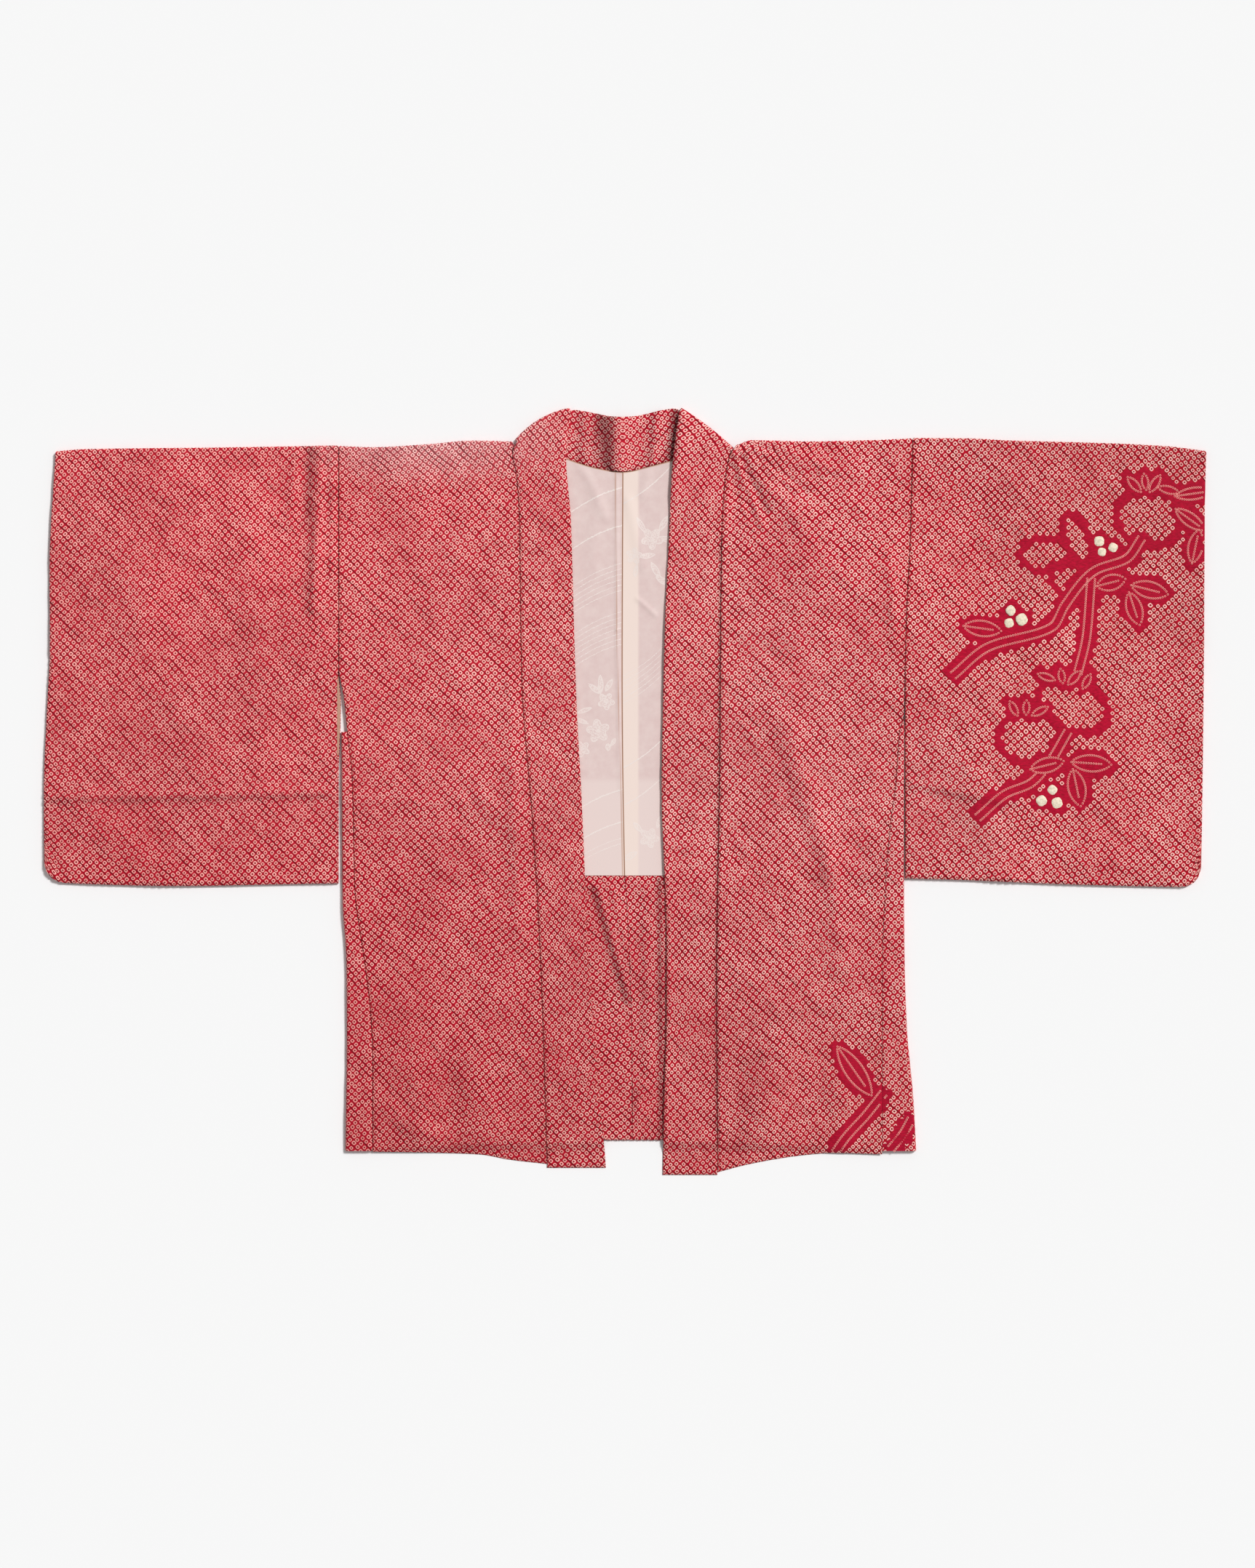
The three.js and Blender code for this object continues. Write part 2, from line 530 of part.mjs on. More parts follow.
// Half of the back lining where it shows, from the neckline to the turned-up hem, seamed at the
// centre back and running in under the collar.
function lining(side, outward) {
  const columns = neckStations[side].slice(1);
  const centre = columns.at(-1);
  const bottom = TURN_UP_TOP + SEAM;
  const rows = bodyRows.filter((row) => row > bottom);
  function pointAt(i, j, face) {
    const row = j === 0 ? bottom : [...rows, CROWN_ROW][j - 1];
    const share = (columns[i] - columns[0]) / (centre - columns[0]);
    const xAt = (y) => columns[i] + share * (centreAt(y) - centre + outward * SEAM / 2);
    const x = xAt(eased(row, necklineAt(xAt(row)) - SEAM));
    return [x, eased(row, necklineAt(x) - SEAM), CLOTH + SEAM + (face > 0 ? LINING : 0)];
  }
  const geometry = sheet(columns.length - 1, rows.length + 1, pointAt);
  return outward < 0 ? geometry : flipped(geometry);
}

// ---- the garment ----
const crepe = (color) => new THREE.MeshStandardMaterial({ color, roughness: 0.85, metalness: 0 });
const damask = new THREE.MeshStandardMaterial({ color: 0xe6d0c9, roughness: 0.45, metalness: 0 });

const haori = new THREE.Group();
function add(name, geometry, material) {
  const mesh = new THREE.Mesh(geometry, material);
  mesh.name = name;
  haori.add(mesh);
}
for (const [side, outward] of [['right', -1], ['left', 1]]) {
  add(`body_${side}`, body(side, outward), crepe(0xc86264));
  add(`gusset_${side}`, gusset(side, outward), crepe(0xbf5a5d));
  add(`sleeve_${side}`, sleeve(side, outward), crepe(0xc45d60));
  add(`lining_${side}`, lining(side, outward), damask);
}
add('collar', collar(), crepe(0xcb6567));
add('sleeve_lining_right', sleeveLining(), damask);

export default haori;
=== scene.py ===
"""A woman's lined haori in tie-dyed silk crepe, laid out flat on its back.

Each length of cloth is first cut flat, as a lattice of tied points counted in squares of cloth, and
then laid: every point of it is carried to its place round the folds. "right" and "left" are the
wearer's, and right is at -X, because the fronts are uppermost. Sizes are in millimetres until a
piece is laid, and in metres from then on.
"""

import json
import math

import bpy
import numpy as np
from bpy.props import FloatProperty, FloatVectorProperty, PointerProperty
from mathutils import Matrix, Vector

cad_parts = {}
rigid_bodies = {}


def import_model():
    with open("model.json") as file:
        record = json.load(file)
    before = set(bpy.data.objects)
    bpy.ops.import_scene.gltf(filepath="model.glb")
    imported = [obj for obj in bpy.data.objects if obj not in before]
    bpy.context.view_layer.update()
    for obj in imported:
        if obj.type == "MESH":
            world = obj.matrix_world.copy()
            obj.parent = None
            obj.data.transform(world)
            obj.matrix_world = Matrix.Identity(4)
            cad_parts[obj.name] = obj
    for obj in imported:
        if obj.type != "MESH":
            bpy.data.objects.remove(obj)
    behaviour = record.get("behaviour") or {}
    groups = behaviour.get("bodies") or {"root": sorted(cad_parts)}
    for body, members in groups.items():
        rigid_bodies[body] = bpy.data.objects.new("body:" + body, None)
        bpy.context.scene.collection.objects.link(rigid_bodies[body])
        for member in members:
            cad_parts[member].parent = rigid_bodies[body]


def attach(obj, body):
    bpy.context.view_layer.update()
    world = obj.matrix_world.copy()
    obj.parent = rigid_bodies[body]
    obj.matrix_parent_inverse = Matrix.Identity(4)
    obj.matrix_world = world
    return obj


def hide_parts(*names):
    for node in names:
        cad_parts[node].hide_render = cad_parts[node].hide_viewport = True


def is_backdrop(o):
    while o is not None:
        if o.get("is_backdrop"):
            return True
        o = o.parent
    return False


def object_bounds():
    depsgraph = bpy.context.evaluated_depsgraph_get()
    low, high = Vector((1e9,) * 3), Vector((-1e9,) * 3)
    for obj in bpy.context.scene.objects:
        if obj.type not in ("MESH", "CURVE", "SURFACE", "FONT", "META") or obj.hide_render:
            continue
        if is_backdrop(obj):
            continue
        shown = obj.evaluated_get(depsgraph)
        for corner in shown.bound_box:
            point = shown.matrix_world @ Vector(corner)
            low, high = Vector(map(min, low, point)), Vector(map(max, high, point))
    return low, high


bl_info = {
    "name": "Laid-out haori",
    "version": (1, 0, 0),
    "blender": (4, 5, 0),
    "location": "3D View > Sidebar > Haori",
    "description": "Dresses the solids of a laid-out haori in tie-dyed crepe and damask",
    "category": "Add Mesh",
}

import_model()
cad_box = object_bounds()

# ---- driving sizes, in millimetres ----
MM = 0.001
CLOTH = 2.0  # tie-dyed crepe, points and all
LINING = 1.2
COLLAR = 3.0  # the collar strip is cloth folded in four
SEAM = 0.3
POINT = 5.6  # from one tied point to the next
SQUARE = POINT * math.sqrt(2)  # points run on the bias: a square has one at each corner and one in the middle
BACK_MIDDLE = CLOTH / 2
TURN_UP_MIDDLE = CLOTH + SEAM + CLOTH / 2
FRONT_BOTTOM = 2 * (CLOTH + SEAM)
FRONT_MIDDLE = FRONT_BOTTOM + CLOTH / 2
FRONT_TOP = FRONT_BOTTOM + CLOTH
COLLAR_MIDDLE = FRONT_BOTTOM + COLLAR / 2
BAND_MIDDLE = COLLAR / 2
EDGE_ROLL = 3.0  # radius of a sleeve's sewn edges
DROOP_RUN = 14  # over which a front falls to the floor past the back hem
SETTLING = 20  # over which a set of folds comes and goes
SIDES = {"right": -1, "left": 1}  # and which way is outward


# ---- small tools ----
def linear(code):
    """An sRGB hex colour as linear red, green and blue."""
    parts = [int(code[i : i + 2], 16) / 255 for i in (1, 3, 5)]
    return tuple(c / 12.92 if c <= 0.04045 else ((c + 0.055) / 1.055) ** 2.4 for c in parts)


def mix(a, b, t):
    """From a at t = 0 to b at t = 1."""
    return a + (b - a) * t


def smooth(t):
    """An even rise from 0 to 1, held beyond its ends."""
    t = np.clip(t, 0, 1)
    return t * t * (3 - 2 * t)


def through(*rows):
    """A smooth line through (position, value) rows with no overshoot, straight on beyond its ends."""
    at, value = np.array(rows, float).T
    rise = np.diff(value) / np.diff(at)
    before, after = np.r_[rise[0], rise], np.r_[rise, rise[-1]]
    product, total = before * after, before + after
    slope = np.where(product > 0, 2 * product / np.where(total == 0, 1, total), 0)

    def line(position):
        position = np.asarray(position, float)
        i = np.clip(np.searchsorted(at, position) - 1, 0, len(at) - 2)
        span = at[i + 1] - at[i]
        t = (position - at[i]) / span
        s = np.clip(t, 0, 1)
        s2, s3 = s * s, s * s * s
        inside = (
            (2 * s3 - 3 * s2 + 1) * value[i]
            + (s3 - 2 * s2 + s) * span * slope[i]
            + (3 * s2 - 2 * s3) * value[i + 1]
            + (s3 - s2) * span * slope[i + 1]
        )
        return inside + (np.minimum(t, 0) * slope[i] + np.maximum(t - 1, 0) * slope[i + 1]) * span

    return line


# ---- the cut: edges of each piece, as laid ----
CUFF = {
    "right": through((-105, -646), (0, -646.4), (90, -643), (165, -639.5), (245, -640), (380, -633)),
    "left": through((-107, 640.5), (0, 642.3), (160, 644), (300, 644.5), (380, 646.4)),
}
ARMHOLE = {
    "right": through((-105, -318.5), (20, -318.5), (70, -316.6), (95, -316), (136, -318.5), (386, -318.5)),
    "left": through((-98, 311.6), (60, 311.4), (140, 311.4), (205, 313.2), (280, 317), (392, 319.8)),
}
SLEEVE_TOP = {
    "right": through((-633, 378.5), (-600, 381), (-440, 383), (-318, 385)),
    "left": through((319, 393.5), (380, 393), (430, 390.5), (510, 388.5), (600, 384.5), (646, 379)),
}
SLEEVE_BOTTOM = {
    "right": through((-646, -101), (-590, -103.5), (-500, -105.5), (-380, -103.5), (-318, -102.5)),
    "left": through((311, -97), (375, -98.8), (470, -102.8), (560, -105.5), (640, -107)),
}
CUFF_CORNER = 22
WRIST_OPENING = 225
OPEN_EDGE = {"x": -320, "top": 131, "bottom": -90}
SLEEVE_LINING = {"outer": -345, "top": 128, "bottom": 40}
SHOULDER = {
    "right": through((-318, 384.5), (-280, 383.2), (-220, 386.5), (-170, 390.5), (-127, 389.5)),
    "left": through((123, 385), (142, 391), (200, 389.6), (280, 391.2), (320, 393)),
}
NECK_END = {"right": -124.6, "left": 123.5}
COLLAR_SEAM = {
    "right": through(
        (-418, -86.5), (-210, -93), (-45, -102), (130, -115),
        (305, -117.5), (353, -120.7), (375, -125.2), (391, -124),
    ),
    "left": through(
        (-426, 102.8), (-210, 101.3), (10, 104.5), (282, 107),
        (340, 110), (360, 112.8), (376, 116.5), (384, 122),
    ),
}
BODY_SIDE = {
    "right": through(
        (-402, -280.6), (-295, -280.8), (-250, -282.7), (-188, -290), (-108, -300.6),
        (10, -303.3), (66, -308.8), (106, -313), (136, -318.2), (386, -318.2),
    ),
    "left": through(
        (-402, 286), (-204, 286), (-96, 290), (-37, 295), (10, 301), (66, 305),
        (86, 310.2), (140, 311.1), (205, 312.9), (280, 316.7), (392, 319.5),
    ),
}
GUSSET_FOLD = {
    "right": through((-400, -311), (-260, -309.5), (-190, -310), (-120, -314.3), (64, -315.6)),
    "left": through((-401, 324), (-342, 320.8), (-261, 313.5), (-180, 311), (-100, 310.4), (72, 310.9)),
}
GUSSET_TOP = {"right": 66, "left": 81}
GUSSET_HEM = -400
FRONT_HEM = {
    "right": through((-281, -401), (-200, -402.6), (-160, -404.5), (-130, -410), (-87, -415)),
    "left": through((102, -424.5), (130, -417), (165, -410), (200, -405), (230, -402.5), (286, -404)),
}
BACK_HEM = through(
    (-290, -397.5), (-200, -392), (-60, -388.5), (8, -388.5), (60, -388.5), (200, -392), (290, -398)
)
CENTRE_SEAM = through((-389, 8), (-250, 7), (-205, 5.5), (-120, 1.4), (-95, -0.4), (130, -3.2), (356, -2.4))
CENTRE_NECK = -2.4
TURN_UP_TOP = -94
NECKLINE = through(
    (-127, 391.4), (-120.4, 388.2), (-97, 381), (-67, 370.9), (-33, 360.1),
    (-2.4, 355.4), (28, 361.8), (62, 370.5), (99, 376.4), (118.6, 379.2),
)
CROWN_ROW = 387  # the last row of a length, before it is eased to the slant of its top
EASED_FROM = 275
HEM_ROW = -390  # a height near the front hems
ROUGH_ROW = -200  # a height on the back where a row's place is first taken

# Folds: soft ridges from one point to another. The larger ones are the solid's, a little fuller.
RIDGES = (  # x0, y0, x1, y1, width, height
    (126, 374, 192, 306, 14, 4.2),
    (120, 378, 152, 296, 5, 3.0),  # gathers fanning out from the left neck point
    (134, 376, 190, 336, 5, 2.8),
    (142, 380, 222, 354, 6, 2.2),
    (124, 372, 132, 312, 4, 2.2),
    (116, 366, 110, 290, 6, 2.4),
    (-338, 376, -346, 205, 9, 6.2),  # beside the right armhole
    (-324, 380, -326, 240, 5, 2.4),
    (-366, 372, -372, 300, 7, 2.2),
    (-150, -398, -166, -300, 20, 3.4),  # hem waves
    (-226, -396, -232, -320, 18, 3.2),
    (-262, -360, -190, -396, 14, 2.8),
    (150, -404, 168, -296, 22, 4.0),
    (243, -398, 236, -318, 16, 3.2),
    (-240, 330, -190, 150, 30, 3.2),
    (-150, 384, -190, 250, 14, 2.6),
    (-128, 120, -118, -150, 9, 2.4),  # along the right collar seam
    (-160, -10, -118, -44, 14, 3.0),
    (215, 250, 165, 40, 30, 3.6),
    (294, 262, 300, 168, 8, 2.4),
    (182, 66, 226, -84, 15, 4.2),  # drape of the left front
    (226, -84, 240, -190, 15, 3.6),
    (-560, 250, -470, 30, 34, 4.0),
    (-600, -20, -520, -90, 20, 3.2),
    (-500, 330, -560, 120, 26, 3.0),
    (-420, 300, -400, 40, 24, 2.6),
    (420, 350, 480, 150, 34, 3.6),
    (380, 20, 420, -88, 22, 3.4),
    (580, 120, 520, -60, 30, 3.2),
    (-640, -8, -330, -2, 7, 1.6),  # pressed lines
    (-300, -8, -180, -14, 7, 1.3),
    (316, 10, 420, -12, 7, 1.5),
    (112, 180, 190, 176, 7, 1.2),
    (54, 330, 58, 412, 9, 3.2),  # the left collar's free edge stands up a little
    (43, 320, 42, -100, 7, 1.8),
    (44, -130, 44, -380, 7, 1.4),
)
BAND_RIDGES = (
    (-46, 424, -50, 366, 9, 2.4),
    (-28, 424, -31, 362, 6, 2.0),
    (34, 420, 26, 364, 9, 3.0),
    (50, 424, 44, 372, 6, 2.4),
)
# The band's middle pleat: where it stands at a height, its lean, how high it is, and over how many
# millimetres it rises and falls.
BAND_PLEAT = {"x": -14, "at": 390, "lean": 0.06, "height": 8.0, "rise": 2.8, "fall": 17}
TURN_UP_RIDGES = (
    (-34, -104, 4, -232, 6, 3.0),
    (-16, -104, 10, -200, 6, 1.6),
    (16, -330, 12, -384, 8, 3.0),
    (26, -150, 22, -330, 9, 1.6),
)
PAINTED_FOLD_SHADE = (  # x0, y0, x1, y1, width, strength of the painted shade laid into the dye where folds, creases and the collar's raised edges cast shade
    (-24, 430, -20, 354, 11, 0.85),  # the neck band
    (-52, 430, -48, 366, 6, 0.25),
    (33, 430, 27, 360, 4, 0.5),
    (57, 432, 50, 366, 6, 0.9),
    (-350, 388, -352, 306, 5, 0.4),  # beside the right armhole
    (-346, 300, -348, 200, 4, 0.2),
    (-330, 384, -328, 300, 3, 0.2),
    (128, 376, 160, 312, 4, 0.45),  # from the left neck point
    (138, 380, 204, 336, 4, 0.4),
    (150, 386, 236, 352, 4, 0.3),
    (171, 47, 219, -75, 5, 0.12),
    (219, -75, 236, -172, 5, 0.12),
    (-34, -108, 2, -230, 4.5, 0.5),  # the turn-up's folds
    (18, -110, 24, -330, 6, 0.15),
    (38, -98, 40, -392, 3.5, 0.6),  # in the left collar's shadow, beside it and along its seam
    (102, -405, 101.5, -210, 2, 0.5),
    (101.5, -210, 106.5, 282, 2, 0.5),
    (-640, -11, -330, -6, 4, 0.25),  # pressed lines
    (316, 5, 430, -16, 4, 0.2),
    (-176, -398, -190, -310, 12, 0.12),  # hem waves
    (124, -404, 142, -300, 13, 0.12),
)


def wander(x, y):
    """Slight unevenness of cloth that lies by its own weight, in millimetres of height."""
    return (
        0.30 * np.sin(0.046 * x + 0.031 * y + 1.3)
        + 0.24 * np.sin(0.083 * x - 0.052 * y)
        + 0.20 * np.sin(0.124 * x + 0.139 * y + 0.7)
        + 0.14 * np.sin(0.231 * x + 0.187 * y + 2.1)
    )


def lift(rows, x, y):
    """How far a set of ridges raises the cloth at a place."""
    height = 0.0
    for x0, y0, x1, y1, width, rise in rows:
        run_x, run_y = x1 - x0, y1 - y0
        length = math.hypot(run_x, run_y)
        along = ((x - x0) * run_x + (y - y0) * run_y) / length
        aside = ((y - y0) * run_x - (x - x0) * run_y) / length
        past = np.maximum(np.maximum(-along, along - length), 0)
        height = height + rise * np.exp(-(aside * aside + past * past) / (width * width))
    return height


def front_lift(x, y):
    """Folds of a front, less its fall to the floor where it passes the back hem."""
    above = y - BACK_HEM(x) + DROOP_RUN
    down = FRONT_BOTTOM * (1 - smooth(above / DROOP_RUN))
    return (lift(RIDGES, x, y) + wander(x, y)) * smooth(above / (2 * DROOP_RUN)) - down


# ---- cutting: a flat lattice of points, counted in squares ----
WHOLE_FIELDS = ("vertices", "edge_index", "vertex_index", "loop_total")


def numbers(elements, field, width=1):
    """One field of all of a mesh's elements, as rows."""
    found = np.empty(len(elements) * width, int if field in WHOLE_FIELDS else float)
    elements.foreach_get(field, found)
    return found.reshape(-1, width) if width > 1 else found


def pick(piece, kind, chosen):
    """Edit mode, with just these of a mesh's edges or polygons selected."""
    mesh = piece.data
    for elements in (mesh.vertices, mesh.edges, mesh.polygons):
        elements.foreach_set("select", np.zeros(len(elements), bool))
    getattr(mesh, kind).foreach_set("select", np.broadcast_to(chosen, len(getattr(mesh, kind))))
    bpy.context.tool_settings.mesh_select_mode = (False, kind == "edges", kind == "polygons")
    bpy.ops.object.mode_set(mode="EDIT")


def done():
    bpy.ops.object.mode_set(mode="OBJECT")


def flat_grid(name, across, along):
    """A grid of squares with its corner at the origin, each square one unit wide."""
    bpy.ops.object.select_all(action="DESELECT")
    bpy.ops.mesh.primitive_grid_add(x_subdivisions=across, y_subdivisions=along, size=1)
    piece = bpy.context.object
    piece.name = piece.data.name = name
    piece.data.transform(Matrix.Diagonal((across, along, 1, 1)) @ Matrix.Translation((0.5, 0.5, 0)))
    return piece


def score(piece, axis, places):
    """Extra lines across a piece where it is to be folded."""
    normal = (1, 0, 0) if axis == 0 else (0, 1, 0)
    pick(piece, "polygons", True)
    for place in places:
        bpy.ops.mesh.select_all(action="SELECT")
        bpy.ops.mesh.bisect(plane_co=[place * n for n in normal], plane_no=normal)
    done()


CREST_IN = 0.16  # from a point's furrow to its crest, in squares
POINT_RELIEF = ([0, 0.1, 0.27, 0.5], [-0.75, -0.5, 0, -1])  # its height by the distance from its middle


def point_cloth(name, across, along, tied, gone=None):
    """A flat piece of tied cloth, from -1 on its wrong side to +1 on its right side.

    tied(i, j, h) says which faces show their points, and gone(i, j) which squares are cut away."""
    piece = flat_grid(name, across, along)
    mesh = piece.data
    if gone:
        i, j, _ = numbers(mesh.polygons, "center", 3).T
        pick(piece, "polygons", gone(i, j))
        bpy.ops.mesh.delete(type="FACE")
        done()
    pick(piece, "polygons", True)
    bpy.ops.mesh.poke()
    done()
    # Without the grid's own lines, what is left is the points' furrows, on the bias.
    ends = numbers(mesh.vertices, "co", 3)[numbers(mesh.edges, "vertices", 2)]
    straight = (np.abs(ends[:, 0] - ends[:, 1]) < 1e-4).sum(1) > 1
    shared = np.bincount(numbers(mesh.loops, "edge_index"), minlength=len(mesh.edges)) == 2
    pick(piece, "edges", straight & shared)
    bpy.ops.mesh.dissolve_edges(use_verts=False, use_face_split=False)
    done()
    thicken(piece)
    i, j, h = numbers(mesh.polygons, "center", 3).T
    pick(piece, "polygons", tied(i, j, h))
    bpy.ops.mesh.inset(thickness=CREST_IN, use_individual=True)
    bpy.ops.mesh.poke()
    done()
    return piece


def thicken(piece):
    """Gives a flat sheet its two sides, at -1 and +1."""
    pick(piece, "polygons", True)
    bpy.ops.mesh.extrude_region_move(TRANSFORM_OT_translate={"value": (0, 0, 2)})
    done()
    piece.data.transform(Matrix.Translation((0, 0, -1)))


def point_height(i, j):
    """Height of the tied points: 0 on a crest, down to -1 in the furrow, with a dimple in the middle."""
    p, q = i + j, i - j
    off = np.maximum(np.abs(p % 1 - 0.5), np.abs(q % 1 - 0.5))
    uneven = 0.75 + 0.25 * np.sin(12.9 * np.floor(p) + 78.2 * np.floor(q)) ** 2
    return np.interp(off, *POINT_RELIEF) * uneven


HELD_WITHIN = 3  # this near to bare cloth, the rows of points keep in step
FREE_RUN = 10  # and this much further off, each row lies as it was tied


def lay(piece, place, untied=None, breaks=False):
    """Carries a flat piece to its place, and keeps where each point was in the cloth as its UV map.

    untied(x, y) is negative where the cloth was left bare. Whole points are bare or tied, never parts.
    Where the pattern breaks at a fold, each face takes its corners' places from its own side of it."""
    mesh = piece.data
    middles = numbers(mesh.polygons, "center", 3)
    sides = numbers(mesh.polygons, "loop_total")
    flat = numbers(mesh.vertices, "co", 3)
    laid, cloth = place(*flat.T)
    if untied:
        i, j, h = middles.T
        p, q = np.floor(i + j) + 0.5, np.floor(i - j) + 0.5
        (x, y, z), _ = place((p + q) / 2, (p - q) / 2, h)
        bare = (untied(x, y) < 0) & (h > 0.3) & (z > FRONT_BOTTOM)
        layer = mesh.attributes.new("bare", "FLOAT", "CORNER")
        layer.data.foreach_set("value", np.repeat(bare, sides).astype(np.float32))
        mark(piece, "held", 1 - smooth((untied(*laid[:2]) - HELD_WITHIN) / FREE_RUN))
    mesh.vertices.foreach_set("co", (np.stack(laid, 1) * MM).astype(np.float32).ravel())
    corners = numbers(mesh.loops, "vertex_index")
    cloth = np.stack(cloth, 1)[corners]
    if breaks:
        just_inside = mix(flat[corners], np.repeat(middles, sides, axis=0), 0.02)
        cloth = np.stack(place(*just_inside.T)[1], 1)
    layer = mesh.uv_layers[0]
    layer.name = "cloth"
    layer.uv.foreach_set("vector", (cloth * MM).astype(np.float32).ravel())
    mesh.update()
    if sum_volume(mesh) < 0:
        mesh.flip_normals()
    bpy.ops.object.select_all(action="DESELECT")
    piece.select_set(True)
    bpy.context.view_layer.objects.active = piece
    bpy.ops.object.shade_smooth_by_angle(angle=math.radians(50))


def sum_volume(mesh):
    """The signed volume that a closed mesh holds."""
    mesh.calc_loop_triangles()
    corners = numbers(mesh.loop_triangles, "vertices", 3)
    a, b, c = numbers(mesh.vertices, "co", 3)[corners].transpose(1, 0, 2)
    return np.einsum("ij,ij->", a, np.cross(b, c)) / 6


def mark(piece, name, values):
    """Keeps one number for each point of a piece, for its material to read."""
    layer = piece.data.attributes.new(name, "FLOAT", "POINT")
    layer.data.foreach_set("value", np.asarray(values, np.float32))


def finish_sheet(piece, node, slot, material):
    """Hangs a sheet of cloth on the frame in place of its solid."""
    if slot == "kanoko_crepe":
        x, y, z = numbers(piece.data.vertices, "co", 3).T / MM
        # Painted shade in folds and creases, on the upper layers, for the material to darken the dye with.
        mark(piece, "gathered", np.minimum(lift(PAINTED_FOLD_SHADE, x, y), 1) * (z > CLOTH + SEAM))
    piece.data.materials.clear()
    piece.data.materials.append(material)
    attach(piece, "root")
    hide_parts(node)


# ---- body ----
BODY_OUTER = 25  # squares from the side to the neck end
BODY_INNER = 16  # and on to the centre back
BODY_BACK = 136  # squares from the turn-up's edge to the top of the back
BODY_FRONT = 101  # over the shoulder and down the front
TIED_TURN_UP = 38  # rows of the turn-up whose points may show
TIED_FROM = BODY_OUTER + 5  # and the column from which they do
PRESSED_TO = -375  # below this the turn-up lies flat
HEM_RADIUS = (TURN_UP_MIDDLE - BACK_MIDDLE) / 2
SHOULDER_REACH = (FRONT_MIDDLE - BACK_MIDDLE + CLOTH) / 2
TURN_UP_RUN = 292
HEM_RUN = math.pi * HEM_RADIUS
BACK_RUN = 773
SHOULDER_RUN = math.pi * (SHOULDER_REACH - CLOTH / 2)
FRONT_RUN = 788
TURN_UP, HEM, BACK, OVER, FRONT = range(5)  # the stretches of a body length, OVER the shoulder


def eased(row, top):
    """A row's height once the rows near the top are eased to its slant."""
    share = (row - EASED_FROM) / (CROWN_ROW - EASED_FROM)
    return np.where(row < EASED_FROM, row, mix(EASED_FROM, top, share))


